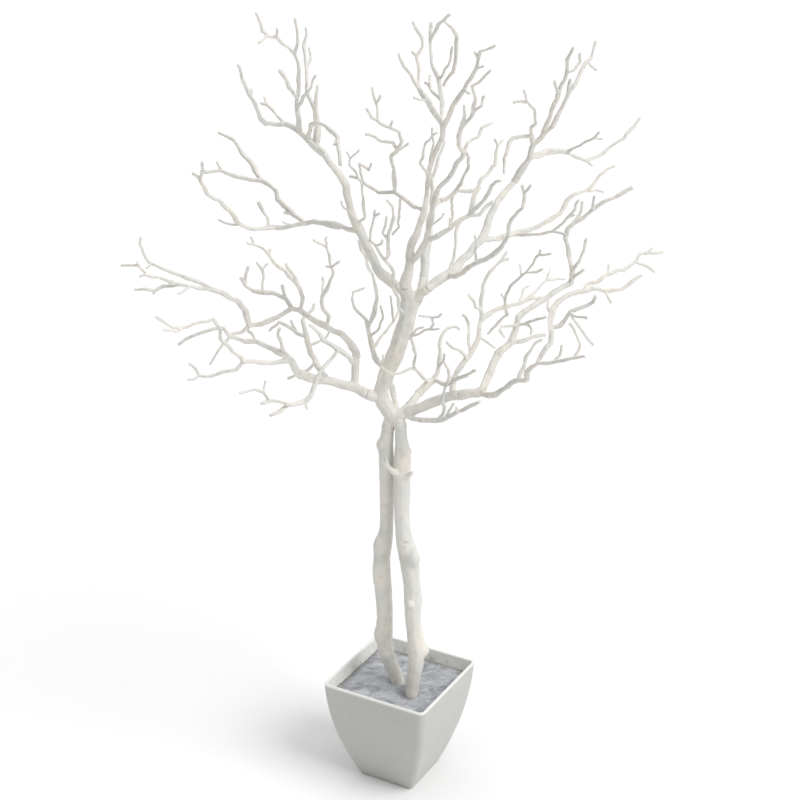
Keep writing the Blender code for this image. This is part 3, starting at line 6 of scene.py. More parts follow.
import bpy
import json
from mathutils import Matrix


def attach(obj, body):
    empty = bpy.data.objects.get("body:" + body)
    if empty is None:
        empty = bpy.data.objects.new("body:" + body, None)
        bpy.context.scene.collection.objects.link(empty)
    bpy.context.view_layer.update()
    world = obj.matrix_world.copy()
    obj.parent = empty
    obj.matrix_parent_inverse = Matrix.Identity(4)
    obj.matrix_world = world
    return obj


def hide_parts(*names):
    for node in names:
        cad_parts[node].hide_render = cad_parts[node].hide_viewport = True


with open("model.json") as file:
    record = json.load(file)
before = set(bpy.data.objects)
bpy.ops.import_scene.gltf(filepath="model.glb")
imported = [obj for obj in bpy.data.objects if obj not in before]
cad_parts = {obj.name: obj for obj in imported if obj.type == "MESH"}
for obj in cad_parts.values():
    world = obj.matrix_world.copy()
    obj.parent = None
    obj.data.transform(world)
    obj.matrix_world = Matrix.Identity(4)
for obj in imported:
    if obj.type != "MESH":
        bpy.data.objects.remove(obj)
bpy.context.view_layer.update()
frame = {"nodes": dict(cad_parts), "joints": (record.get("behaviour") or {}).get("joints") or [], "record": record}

# %% [markdown]
# Besides bpy, three small helpers do most of the work: bmesh edits a mesh by operators, numpy moves many points at
# once, and noise.noise gives an uneven height that is the same on every run, so nothing needs a random seed. Its
# sister noise_vector starts from the clock, so a shift with three parts takes noise.noise three times instead.

# %% Blender's own tools
import json
import math

import bmesh
import bpy
import numpy as np
from mathutils import Matrix, Vector, noise

MM = 0.001
scene = bpy.context.scene

# %% [markdown]
# A colour chosen on a screen is an sRGB code, but the renderer works in linear light, so one function turns one into
# the other. Every material below names its colours as hex codes and passes them through it.


# %% From sRGB hex to linear light
def linear(code):
    """The linear colour, with full alpha, of a hex code such as #F2EFEA."""
    shares = [int(code[place:place + 2], 16) / 255 for place in (1, 3, 5)]
    return [s / 12.92 if s <= 0.04045 else ((s + 0.055) / 1.055) ** 2.4 for s in shares] + [1.0]


print("off-white in linear light:", [round(part, 3) for part in linear("#F2EFEA")])

# %% [markdown]
# A material is a little graph of nodes. They could be wired by hand in the editor. In a script one small function is
# enough: it adds a node, sets its options, and for each input takes either a value or another node's output.


# %% One function that adds a node
def add_node(tree, kind, inputs=None, **settings):
    """A new node of this kind. An input whose value is a socket is linked to it, and any other value is set."""
    node = tree.nodes.new(kind)
    for option, value in settings.items():
        setattr(node, option, value)
    for name, value in (inputs or {}).items():
        if isinstance(value, bpy.types.NodeSocket):
            tree.links.new(value, node.inputs[name])
        else:
            node.inputs[name].default_value = value
    return node


def new_finish(name):
    """An empty material with its tree, its shader and the object's own coordinates."""
    finish = bpy.data.materials.new(name)
    finish.use_nodes = True
    tree = finish.node_tree
    place = add_node(tree, "ShaderNodeTexCoord").outputs["Object"]
    return finish, tree, tree.nodes["Principled BSDF"], place


# Sockets of the Mix node when it mixes colours: share, first colour, second colour, and the result.
SHARE, FIRST, SECOND, MIXED = 0, 6, 7, 2

# %% [markdown]
# The branches are soft polyethylene, moulded in one shot over a wire and sprayed with a matt off-white paint. To the
# eye that is a chalky surface with no sharp highlight: cream where the coat is thick, cooler and greyer where it is
# thin. The hollows of the bark are painted a little darker, as painted shade. A flat white would look like plaster,
# so three noises of real sizes are mixed: clouds 45 mm across, blotches of 7 mm, and a paint grain. The real grain
# is about 0.3 mm, too fine to show on a tree this tall, so it is drawn at 2.2 mm.


# %% Matt painted polyethylene
def painted_polyethylene():
    finish, tree, shader, place = new_finish("matt_painted_polyethylene")
    clouds = add_node(tree, "ShaderNodeTexNoise", {"Vector": place, "Scale": 1 / (45 * MM), "Detail": 2.0})
    blotches = add_node(tree, "ShaderNodeTexNoise", {"Vector": place, "Scale": 1 / (7 * MM), "Detail": 3.0})
    grain = add_node(tree, "ShaderNodeTexNoise", {"Vector": place, "Scale": 1 / (2.2 * MM), "Detail": 2.0})
    relief = add_node(tree, "ShaderNodeAttribute", attribute_name="relief")
    coat = add_node(tree, "ShaderNodeMapRange", {"Value": clouds.outputs["Fac"], "From Min": 0.35, "From Max": 0.65})
    tone = add_node(tree, "ShaderNodeMix", {SHARE: coat.outputs["Result"], FIRST: linear("#D6D7D3"),
                                            SECOND: linear("#E3DED5")}, data_type="RGBA")
    thin = add_node(tree, "ShaderNodeMapRange", {"Value": blotches.outputs["Fac"], "From Min": 0.52, "From Max": 0.75,
                                                 "To Max": 0.55})
    worn = add_node(tree, "ShaderNodeMix", {SHARE: thin.outputs["Result"], FIRST: tone.outputs[MIXED],
                                            SECOND: linear("#CCC7BC")}, data_type="RGBA")
    # painted shade: where the relief mark is low, in the hollows of the bark, the colour is darkened towards #AFA99E
    hollow_shade = add_node(tree, "ShaderNodeMapRange", {"Value": relief.outputs["Fac"], "From Min": 0.5, "From Max": 0.0,
                                                   "To Max": 0.65})
    shaded = add_node(tree, "ShaderNodeMix", {SHARE: hollow_shade.outputs["Result"], FIRST: worn.outputs[MIXED],
                                              SECOND: linear("#AFA99E")}, data_type="RGBA")
    gloss = add_node(tree, "ShaderNodeMapRange", {"Value": blotches.outputs["Fac"], "To Min": 0.56, "To Max": 0.74})
    bark = add_node(tree, "ShaderNodeBump", {"Height": blotches.outputs["Fac"], "Strength": 0.35,
                                             "Distance": 0.9 * MM})
    paint = add_node(tree, "ShaderNodeBump", {"Height": grain.outputs["Fac"], "Strength": 0.25, "Distance": 0.4 * MM,
                                              "Normal": bark.outputs["Normal"]})
    tree.links.new(shaded.outputs[MIXED], shader.inputs["Base Color"])
    tree.links.new(gloss.outputs["Result"], shader.inputs["Roughness"])
    tree.links.new(paint.outputs["Normal"], shader.inputs["Normal"])
    shader.inputs["IOR"].default_value = 1.50
    return finish


bark_finish = painted_polyethylene()
print("finish:", bark_finish.name)

# %% [markdown]
# The pot is injection-moulded polypropylene: satin, slightly waxy, with the faint unevenness of a moulding that
# cooled in its tool, and dull scuffs from handling. The lip and the inner wall are painted paler: a painted highlight
# on the lip, and painted light that lifts the shade inside the wall. Above the cement the wall carries grey smears
# left by the pour. So the pot's mesh will carry two marks, one for the painted light and one called inner, that say
# where these are.


# %% Satin moulded polypropylene
def moulded_polypropylene():
    finish, tree, shader, place = new_finish("satin_moulded_polypropylene")
    clouds = add_node(tree, "ShaderNodeTexNoise", {"Vector": place, "Scale": 1 / (60 * MM), "Detail": 2.0})
    scuffs = add_node(tree, "ShaderNodeTexNoise", {"Vector": place, "Scale": 1 / (16 * MM), "Detail": 6.0,
                                                   "Roughness": 0.65})
    skin = add_node(tree, "ShaderNodeTexNoise", {"Vector": place, "Scale": 1 / (5 * MM), "Detail": 1.0})
    inner = add_node(tree, "ShaderNodeAttribute", attribute_name="inner")
    tone = add_node(tree, "ShaderNodeMix", {SHARE: clouds.outputs["Fac"], FIRST: linear("#B8B9B5"),
                                            SECOND: linear("#C0C0BC")}, data_type="RGBA")
    rubbed = add_node(tree, "ShaderNodeMapRange", {"Value": scuffs.outputs["Fac"], "From Min": 0.58, "From Max": 0.72,
                                                   "To Max": 0.25})
    worn = add_node(tree, "ShaderNodeMix", {SHARE: rubbed.outputs["Result"], FIRST: tone.outputs[MIXED],
                                            SECOND: linear("#A5A39E")}, data_type="RGBA")
    # painted highlight on the lip and painted light on the inner wall: where this mark is high the tone is lifted
    # towards #EDEDE9
    painted_light = add_node(tree, "ShaderNodeAttribute", attribute_name="painted_light")
    painted_light_tone = add_node(tree, "ShaderNodeMix", {SHARE: painted_light.outputs["Fac"], FIRST: worn.outputs[MIXED],
                                              SECOND: linear("#EDEDE9")}, data_type="RGBA")
    splash = add_node(tree, "ShaderNodeMapRange", {"Value": scuffs.outputs["Fac"], "From Min": 0.50, "From Max": 0.70,
                                                   "To Max": 0.6})
    smear = add_node(tree, "ShaderNodeMath", {0: splash.outputs["Result"], 1: inner.outputs["Fac"]},
                     operation="MULTIPLY")
    stained = add_node(tree, "ShaderNodeMix", {SHARE: smear.outputs["Value"], FIRST: painted_light_tone.outputs[MIXED],
                                               SECOND: linear("#93928F")}, data_type="RGBA")
    gloss = add_node(tree, "ShaderNodeMapRange", {"Value": scuffs.outputs["Fac"], "From Min": 0.3, "From Max": 0.75,
                                                  "To Min": 0.34, "To Max": 0.52})
    wave = add_node(tree, "ShaderNodeBump", {"Height": skin.outputs["Fac"], "Strength": 0.12, "Distance": 0.25 * MM})
    tree.links.new(stained.outputs[MIXED], shader.inputs["Base Color"])
    tree.links.new(gloss.outputs["Result"], shader.inputs["Roughness"])
    tree.links.new(wave.outputs["Normal"], shader.inputs["Normal"])
    shader.inputs["IOR"].default_value = 1.49
    return finish


pot_finish = moulded_polypropylene()
print("finish:", pot_finish.name)

# %% [markdown]
# The cement is ordinary grey cement, stirred wet, poured and pushed flat with a stick. It dries with a bluish lilac
# cast, pale where the cement milk rose. Its low spots and a band along the wall are painted darker, as painted shade.
# The mesh will carry two marks for it: relief, the height of the surface, and rim, how near the wall a point is.


# %% Hand-poured cement
def poured_cement():
    finish, tree, shader, place = new_finish("hand_poured_cement")
    drag = add_node(tree, "ShaderNodeMapping", {"Vector": place, "Rotation": (0, 0, math.radians(38)),
                                                "Scale": (1.0, 1.5, 1.0)})
    swirls = add_node(tree, "ShaderNodeTexNoise", {"Vector": drag.outputs["Vector"], "Scale": 1 / (34 * MM),
                                                   "Detail": 5.0, "Roughness": 0.58, "Distortion": 1.7})
    sand = add_node(tree, "ShaderNodeTexNoise", {"Vector": place, "Scale": 1 / (3 * MM), "Detail": 4.0})
    relief = add_node(tree, "ShaderNodeAttribute", attribute_name="relief")
    rim = add_node(tree, "ShaderNodeAttribute", attribute_name="rim")
    milk = add_node(tree, "ShaderNodeMapRange", {"Value": swirls.outputs["Fac"], "From Min": 0.30, "From Max": 0.68})
    tone = add_node(tree, "ShaderNodeMix", {SHARE: milk.outputs["Result"], FIRST: linear("#85858B"),
                                            SECOND: linear("#BEC2C5")}, data_type="RGBA")
    # painted shade: the low spots of the surface, where the relief mark is small, are darkened towards #6A666A
    low = add_node(tree, "ShaderNodeMapRange", {"Value": relief.outputs["Fac"], "From Min": 0.48, "From Max": 0.10,
                                                "To Max": 0.6})
    low_spot_shade = add_node(tree, "ShaderNodeMix", {SHARE: low.outputs["Result"], FIRST: tone.outputs[MIXED],
                                            SECOND: linear("#6A666A")}, data_type="RGBA")
    # painted shade: near the pot's wall the colour is darkened towards a warm #7A736D
    wall_shade = add_node(tree, "ShaderNodeMath", {0: rim.outputs["Fac"], 1: 0.75}, operation="MULTIPLY")
    edge = add_node(tree, "ShaderNodeMix", {SHARE: wall_shade.outputs["Value"], FIRST: low_spot_shade.outputs[MIXED],
                                            SECOND: linear("#7A736D")}, data_type="RGBA")
    specks = add_node(tree, "ShaderNodeMapRange", {"Value": sand.outputs["Fac"], "From Min": 0.60, "From Max": 0.72,
                                                   "To Max": 0.5})
    gritty = add_node(tree, "ShaderNodeMix", {SHARE: specks.outputs["Result"], FIRST: edge.outputs[MIXED],
                                              SECOND: linear("#CBCED0")}, data_type="RGBA")
    rough = add_node(tree, "ShaderNodeBump", {"Height": sand.outputs["Fac"], "Strength": 0.55, "Distance": 0.8 * MM})
    tree.links.new(gritty.outputs[MIXED], shader.inputs["Base Color"])
    tree.links.new(rough.outputs["Normal"], shader.inputs["Normal"])
    shader.inputs["Roughness"].default_value = 0.9
    shader.inputs["IOR"].default_value = 1.52
    return finish


cement_finish = poured_cement()
print("finish:", cement_finish.name)

# %% [markdown]
# The rods inside the trunks are plain drawn steel. Drawing leaves fine scratches along the rod, so the noise that
# sets the roughness is stretched along the height. Only their ends could ever be seen, with the crown taken off.


# %% Drawn steel
def drawn_steel():
    finish, tree, shader, place = new_finish("drawn_mild_steel")
    along = add_node(tree, "ShaderNodeMapping", {"Vector": place, "Scale": (1.0, 1.0, 0.05)})
    lines = add_node(tree, "ShaderNodeTexNoise", {"Vector": along.outputs["Vector"], "Scale": 1 / (0.8 * MM),
                                                  "Detail": 2.0})
    gloss = add_node(tree, "ShaderNodeMapRange", {"Value": lines.outputs["Fac"], "To Min": 0.28, "To Max": 0.48})
    scratch = add_node(tree, "ShaderNodeBump", {"Height": lines.outputs["Fac"], "Strength": 0.2, "Distance": 0.1 * MM})
    shader.inputs["Base Color"].default_value = linear("#BFC0C0")
    shader.inputs["Metallic"].default_value = 1.0
    tree.links.new(gloss.outputs["Result"], shader.inputs["Roughness"])
    tree.links.new(scratch.outputs["Normal"], shader.inputs["Normal"])
    return finish


rod_finish = drawn_steel()
for side in ("left", "right"):
    rod = frame["nodes"][side + "_core_rod"]
    rod.data.materials.clear()
    rod.data.materials.append(rod_finish)
print("finish:", rod_finish.name)

# %% [markdown]
# A branch moulding is regrown in three steps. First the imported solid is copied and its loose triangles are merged,
# because they come as separate faces. Then a Remesh modifier lays one even skin of small squares over it, which
# melts the joints between tubes into one body. Modelling every twig again by hand would also work, but it would
# drift away from the solid that swivels and collides. The result of the modifiers is kept as the piece's own mesh.


# %% Copy, merge and keep
def merged_copy(node, name):
    """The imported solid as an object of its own, its loose triangles joined."""
    shape = bmesh.new()
    shape.from_mesh(frame["nodes"][node].data)
    bmesh.ops.remove_doubles(shape, verts=shape.verts, dist=0.01 * MM)
    mesh = bpy.data.meshes.new(name)
    shape.to_mesh(mesh)
    shape.free()
    piece = bpy.data.objects.new(name, mesh)
    scene.collection.objects.link(piece)
    return piece


def keep_result(piece):
    """Makes what the piece's modifiers show its own mesh."""
    bpy.context.view_layer.update()
    shown = piece.evaluated_get(bpy.context.evaluated_depsgraph_get())
    mesh = bpy.data.meshes.new_from_object(shown)
    before = piece.data
    piece.modifiers.clear()
    piece.data = mesh
    bpy.data.meshes.remove(before)


def skin_over(piece, square):
    """One even skin of small squares over the whole piece."""
    skin = piece.modifiers.new("skin", "REMESH")
    skin.mode = "VOXEL"
    skin.voxel_size = square
    skin.use_smooth_shade = True
    keep_result(piece)


def points_of(mesh):
    flat = np.empty(len(mesh.vertices) * 3, np.float32)
    mesh.vertices.foreach_get("co", flat)
    return flat.reshape(-1, 3).astype(float)


def normals_of(mesh):
    flat = np.empty(len(mesh.vertices) * 3, np.float32)
    mesh.vertex_normals.foreach_get("vector", flat)
    return flat.reshape(-1, 3).astype(float)


def move_points(mesh, points):
    mesh.vertices.foreach_set("co", points.astype(np.float32).ravel())
    mesh.update()


# %% [markdown]
# Where one moulding plugs into another there is a thin ring-shaped seam, and smoothing would open it into a groove.
# So a vertex group holds each point back by how near it is to a seam: 0 at the seam, 1 from 4 mm away. Every swivel
# joint of the frame stands on such a seam, so they need no measuring. One more is fixed: the foot of the spray that
# winds round the stem. The solids also leave a gap of under a millimetre at a seam, and its rounded edges would make
# it read as a black line. So each end face is drawn 1.4 mm towards the other piece, near enough for both to meet. The
# two are round and turn about the seam's own axis, so they can meet without catching.

# %% Holding the seams
SEAM_KEEP, SEAM_FREE, SEAM_REACH = 0.6 * MM, 4.0 * MM, 18 * MM
SEAM_LAP = 1.4 * MM
LAP_FADE = 2.5 * SEAM_LAP
FACE_DEPTH, FACE_POINTS = 1.0 * MM, 12
RIM_PER_MEDIAN = 1.45
vine_seam = ((0.02732, 0.0266, 0.63899), (0.5304, 0.7253, 0.4389))
seams = [(joint["pos_m"], joint["axis"]) for joint in frame["joints"]] + [vine_seam]
print("seams:", len(seams))


def face_radius(side, radial, facing):
    """How far from the seam's axis the piece's end face reaches, or 0 if the piece doesn't end at this seam."""
    face = (np.abs(side) < FACE_DEPTH) & (radial < SEAM_REACH) & (facing > 0.9)
    if face.sum() <= FACE_POINTS:
        return 0.0
    return RIM_PER_MEDIAN * float(np.median(radial[face])) + 0.5 * MM


def hold_seams(piece):
    """Draws the seam faces together, and adds a vertex group that is weak near them for the modifiers that follow."""
    points, normals = points_of(piece.data), normals_of(piece.data)
    freedom = np.ones(len(points))
    for place, axis in seams:
        away = points - np.array(place)
        side = away @ np.array(axis)
        radial = np.linalg.norm(away - side[:, None] * np.array(axis), axis=1)
        radius = face_radius(side, radial, np.abs(normals @ np.array(axis)))
        share = np.clip((np.abs(side) - SEAM_KEEP) / (SEAM_FREE - SEAM_KEEP), 0, 1)
        close = (radial < max(radius, FACE_DEPTH)) & (np.abs(side) < SEAM_REACH)
        freedom = np.where(close, np.minimum(freedom, share), freedom)
        pull = np.where(close, np.sign(side) * SEAM_LAP * np.clip(1 - np.abs(side) / LAP_FADE, 0, 1), 0)
        points -= pull[:, None] * np.array(axis)
    move_points(piece.data, points)
    group = piece.vertex_groups.new(name="freedom")
    group.add(list(range(len(points))), 1.0, "REPLACE")
    for index in np.flatnonzero(freedom < 1):
        group.add([int(index)], float(freedom[index]), "REPLACE")


# %% [markdown]
# Second, the skin is smoothed until the flats and corners of the tubes are gone. Smoothing also thins a branch, and
# thin twigs lose the most, so the volume is measured before and after, and the skin is pushed out again by the
# difference over its area.


# %% Smoothing that keeps the volume
def volume_and_area(mesh):
    shape = bmesh.new()
    shape.from_mesh(mesh)
    volume = shape.calc_volume()
    area = sum(face.calc_area() for face in shape.faces)
    shape.free()
    return volume, area


def soften(piece, rounds):
    """Rounds the skin off, then swells it back to the volume that it had."""
    volume, _ = volume_and_area(piece.data)
    rounding = piece.modifiers.new("rounding", "SMOOTH")
    rounding.factor = 0.5
    rounding.iterations = rounds
    rounding.vertex_group = "freedom"
    keep_result(piece)
    thinner, area = volume_and_area(piece.data)
    swell = piece.modifiers.new("swell", "DISPLACE")
    swell.mid_level = 0.0
    swell.strength = (volume - thinner) / area
    swell.vertex_group = "freedom"
    keep_result(piece)
    return (volume - thinner) / area / MM


# %% [markdown]
# Third comes the bark itself: real lumps in the mesh, not only in the shading, because a trunk shows them along its
# outline. Knots are pulled out of the skin one by one. Real twigs are never straight either, so the whole crown is
# shifted by one slow noise, up to a few millimetres. As the noise depends only on the place, both sides of a seam
# shift alike and stay together. The finish darkens the hollows as painted shade, so the relief is stored as a mark.

# %% Bark relief
DRIFT, DRIFT_WAVE, DRIFT_FROM, DRIFT_FULL = 2.6 * MM, 19 * MM, 0.602, 0.665
DRIFT_STARTS = [Vector((start, start, start)) for start in (0.0, 31.7, 67.3)]
print("drift: up to", DRIFT / MM, "mm above a height of", DRIFT_FROM, "m")


def bark_lumps(piece, lump, height):
    """Uneven swellings of about this size and height over the whole skin."""
    clouds = bpy.data.textures.new("bark_lumps", "CLOUDS")
    clouds.noise_scale = lump
    clouds.noise_depth = 2
    relief = piece.modifiers.new("bark", "DISPLACE")
    relief.texture = clouds
    relief.texture_coords = "LOCAL"
    relief.mid_level = 0.5
    relief.strength = height
    relief.vertex_group = "freedom"


def wander(points):
    """Points shifted sideways by a slow, even drift, none near the trunks, so that straight runs meander a little."""
    share = np.clip((points[:, 2] - DRIFT_FROM) / (DRIFT_FULL - DRIFT_FROM), 0, 1)
    waves = [Vector(point) / DRIFT_WAVE for point in points.tolist()]
    drift = np.array([[noise.noise(wave + start) for start in DRIFT_STARTS] for wave in waves])
    return points + drift * (DRIFT * share)[:, None]


def raise_knot(mesh, near, reach, height, stretch=1.0):
    """A rounded knot on the skin at the point nearest to this one, longer along the height if stretched."""
    points = points_of(mesh)
    centre = points[np.argmin(np.linalg.norm(points - np.array(near), axis=1))]
    away = (points - centre) * np.array([1.0, 1.0, 1.0 / stretch])
    share = np.clip(1 - (np.linalg.norm(away, axis=1) / reach) ** 2, 0, 1) ** 1.5
    move_points(mesh, points + normals_of(mesh) * (share * height)[:, None])


def mark_relief(mesh, before, deepest):
    """Stores how far each point was raised or sunk, from 0 at the deepest to 1 at the highest, for the painted shade
    in the hollows.
    """
    raised = ((points_of(mesh) - before) * normals_of(mesh)).sum(axis=1)
    mark = mesh.attributes.new("relief", "FLOAT", "POINT")
    mark.data.foreach_set("value", np.clip(0.5 + raised / (2 * deepest), 0, 1).astype(np.float32))


# %% [markdown]
# These steps are put together in one function, which also says which body a piece rides on, which solid it stands
# for and which finish it takes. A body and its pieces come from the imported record.


# %% One branch moulding
body_of_node = {node: body for body, nodes in frame["record"]["behaviour"]["bodies"].items() for node in nodes}
coarser = 1.0


def regrow(node, square, rounds, lumps, knots=(), sleeves=()):
    """A branch moulding with bark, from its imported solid. Lumps are (size, height) pairs."""
    piece = merged_copy(node, node + "_moulding")
    for sleeve in sleeves:
        add_sleeve(piece.data, *sleeve)
    skin_over(piece, square * coarser)
    hold_seams(piece)
    swell = soften(piece, rounds)
    before = points_of(piece.data)
    for lump, height in lumps:
        bark_lumps(piece, lump, height)
    keep_result(piece)
    for knot in knots:
        raise_knot(piece.data, *knot)
    mark_relief(piece.data, before, sum(height for _, height in lumps) / 2)
    move_points(piece.data, wander(points_of(piece.data)))
    piece.vertex_groups.clear()
    for face in piece.data.polygons:
        face.use_smooth = True
    dress(piece, body_of_node[node], node, bark_finish)
    print(f"{piece.name}: {len(piece.data.polygons)} faces, swollen back by {swell:.2f} mm")
    return piece


def add_sleeve(mesh, place, axis, low, high, low_radius, high_radius):
    """Adds a short cone round an axis to the mesh, to be melted into it by the skin."""
    axis = Vector(axis).normalized()
    middle = Matrix.Translation(Vector(place) + axis * (low + high) / 2)
    shape = bmesh.new()
    shape.from_mesh(mesh)
    bmesh.ops.create_cone(shape, cap_ends=True, segments=64, radius1=low_radius, radius2=high_radius,
                          depth=high - low, matrix=middle @ axis.to_track_quat("Z", "Y").to_matrix().to_4x4())
    shape.to_mesh(mesh)
    shape.free()


def dress(piece, body, node, finish):
    piece.data.materials.clear()
    piece.data.materials.append(finish)
    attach(piece, body)
    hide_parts(node)


# %% [markdown]
# The two trunks carry the heaviest bark: broad swellings 26 mm apart, smaller ones of 9 mm, and the round or oval
# scars where side branches were cut from the tree that the mould was taken from. A scar could be a separate bead
# pressed into the skin, but on a moulding it is one with the bark, so the skin itself is pulled out into a knot.
# Each knot is given as a point near it, its reach, its height (below 0 for a dent) and how much longer than wide.

# %% The trunks
LEFT_KNOTS = [
    ((-0.044, 0.006, 0.239), 0.012, 0.0034, 1.3),
    ((-0.044, 0.004, 0.348), 0.014, 0.0024, 1.8),
    ((-0.040, 0.002, 0.400), 0.013, 0.0028, 1.6),
    ((-0.036, 0.000, 0.568), 0.010, 0.0038, 1.2),
    ((-0.024, -0.012, 0.205), 0.008, 0.0016, 1.4),
    ((-0.006, 0.000, 0.500), 0.050, 0.0014, 1.6),
]
RIGHT_KNOTS = [
    ((0.046, -0.030, 0.233), 0.011, 0.0058, 1.1),
    ((0.014, -0.038, 0.319), 0.0075, 0.0050, 1.0),
    ((0.036, -0.030, 0.316), 0.012, 0.0018, 1.5),
    ((0.021, -0.034, 0.393), 0.0095, 0.0064, 1.5),
    ((0.034, -0.030, 0.402), 0.014, 0.0030, 1.9),
    ((0.008, -0.034, 0.421), 0.007, -0.0016, 0.5),
    ((0.010, -0.020, 0.563), 0.0075, 0.0052, 1.0),
    ((0.020, -0.014, 0.567), 0.008, 0.0030, 1.0),
    ((0.012, -0.036, 0.455), 0.007, 0.0012, 1.6),
    ((-0.010, -0.008, 0.500), 0.050, 0.0014, 1.6),
]
TRUNK_LUMPS = [(26 * MM, 2.0 * MM), (9 * MM, 0.7 * MM)]
left_trunk = regrow("left_trunk", 1.0 * MM, 60, TRUNK_LUMPS, LEFT_KNOTS)
right_trunk = regrow("right_trunk", 1.0 * MM, 60, TRUNK_LUMPS, RIGHT_KNOTS)

# %% [markdown]
# The crown fork and the limbs that plug into it are smoother than the trunks, as young wood is. Their lumps are
# smaller and lower, and the skin's squares are finer, because their side twigs are thin. The fork sits on the domed
# tops of the two trunks, and a moulding's foot has a short sleeve that hides the dome, so the fork gets two of them:
# each reaches from 3.5 mm below the trunk's top to 6 mm above it.

# %% The crown fork and its limbs
LIMB_LUMPS = [(16 * MM, 1.1 * MM), (6 * MM, 0.45 * MM)]
limbs = ["crown_fork", "left_limb", "upper_left_limb", "upper_center_limb", "back_stem", "upper_right_limb",
         "right_low_limb"]
SLEEVES = [
    ((-0.01723, 0.0045, 0.59423), (0.1395, -0.0174, 0.9901), -3.5 * MM, 6 * MM, 10.1 * MM, 9.6 * MM),
    ((0.0010, -0.0060, 0.59923), (-0.054, 0.0452, 0.9975), -3.5 * MM, 6 * MM, 9.3 * MM, 8.8 * MM),
]
for node in limbs:
    regrow(node, 0.9 * MM, 20, LIMB_LUMPS, sleeves=SLEEVES if node == "crown_fork" else ())

# %% [markdown]
# All that is left of the crown is sprays: thin twigs that kink where each side twig leaves. Their bark is almost
# smooth, so low lumps of 7 mm are enough to keep their outline from looking like bent wire.

# %% The sprays
SPRAY_LUMPS = [(8 * MM, 0.85 * MM)]
done = {"left_trunk", "right_trunk", "pot_shell", "cement_fill", "left_core_rod", "right_core_rod", *limbs}
for node in sorted(set(frame["nodes"]) - done):
    regrow(node, 0.80 * MM, 8, SPRAY_LUMPS)

# %% [markdown]
# The pot is a square beaker with bowed walls, narrower at the foot, and a rounded lip. It could be cut from a block
# with a Boolean, but one outline drawn up and down again keeps clean rows of faces. The outline starts as a flat
# grid face whose corners are rounded, it is extruded up the outside in small steps that follow the bow, inset by
# the wall at the lip, and extruded down the inside to the floor. The walls have many small faces, so that smooth
# shading bends only at the corners.

# %% The pot
POT_SIDE, POT_HEIGHT, POT_TURN = 0.178, 0.1765, math.radians(-29.3)
FOOT_SHARE, BOW = 0.522, 9.0 * MM
WALL, FLOOR, CORNER, LIP = 4.6 * MM, 3.5 * MM, 10.0 * MM, 2.2 * MM
STEPS_UP, STEPS_DOWN, WALL_CUTS = 40, 30, 26


def half_side(height):
    """Half the pot's outer side at a height: a straight taper with an outward bow."""
    share = height / POT_HEIGHT
    foot = POT_SIDE * FOOT_SHARE
    return (foot + (POT_SIDE - foot) * share) / 2 + BOW * 4 * share * (1 - share)


def draw_on(shape, face, from_half, to_half, rise):
    """Extrudes a face by a rise and scales it to the next half side. The old face is taken away."""
    grown = bmesh.ops.extrude_face_region(shape, geom=[face])["geom"]
    bmesh.ops.delete(shape, geom=[face], context="FACES_ONLY")
    corners = [item for item in grown if isinstance(item, bmesh.types.BMVert)]
    bmesh.ops.scale(shape, vec=(to_half / from_half, to_half / from_half, 1), verts=corners)
    bmesh.ops.translate(shape, vec=(0, 0, rise), verts=corners)
    return next(item for item in grown if isinstance(item, bmesh.types.BMFace))


def pot_outline(shape):
    """The foot's outline as one face with rounded corners and finely divided sides."""
    half = half_side(0)
    bmesh.ops.create_grid(shape, x_segments=1, y_segments=1, size=half)
    round_off = CORNER * FOOT_SHARE
    bmesh.ops.bevel(shape, geom=list(shape.verts), offset=round_off, segments=8, profile=0.5, affect="VERTICES",
                    material=-1)
    sides = [edge for edge in shape.edges if edge.calc_length() > half]
    bmesh.ops.subdivide_edges(shape, edges=sides, cuts=WALL_CUTS)
    return shape.faces[:][0]


shape = bmesh.new()
face = pot_outline(shape)
foot = bmesh.ops.duplicate(shape, geom=[face])["geom"]
foot = [item for item in foot if isinstance(item, bmesh.types.BMFace)]
bmesh.ops.reverse_faces(shape, faces=foot)
for step in range(STEPS_UP):
    low, high = POT_HEIGHT * step / STEPS_UP, POT_HEIGHT * (step + 1) / STEPS_UP
    face = draw_on(shape, face, half_side(low), half_side(high), high - low)
bmesh.ops.inset_region(shape, faces=[face], thickness=WALL)
for step in range(STEPS_DOWN):
    high = POT_HEIGHT - (POT_HEIGHT - FLOOR) * step / STEPS_DOWN
    low = POT_HEIGHT - (POT_HEIGHT - FLOOR) * (step + 1) / STEPS_DOWN
    face = draw_on(shape, face, half_side(high) - WALL, half_side(low) - WALL, low - high)
bmesh.ops.remove_doubles(shape, verts=shape.verts, dist=0.01 * MM)
print("pot:", len(shape.faces), "faces before its lip is rounded")

# %% [markdown]
# A moulding has no sharp edge, so the lip gets a generous bevel, which catches the light as a bright line, and the
# foot a small one. The two marks for the finish are stored in the mesh while the pot still lies square to the axes:
# the painted light on the lip and the inner wall, and inner where cement could have splashed. Then the pot is turned
# into place.


# %% Rounding the lip and the foot, and marking the inside
HIGHLIGHT_BAND, HIGHLIGHT_FADE, LIP_HIGHLIGHT = 4.5 * MM, 2 * MM, 0.8
SPLASH_TOP, SPLASH_FADE = 0.171, 12 * MM
FOOT_EDGE = 0.8 * MM


def level_edges(shape, height):
    """The edges that lie at a height."""
    return [e for e in shape.edges if all(abs(v.co.z - height) < 0.01 * MM for v in e.verts)]


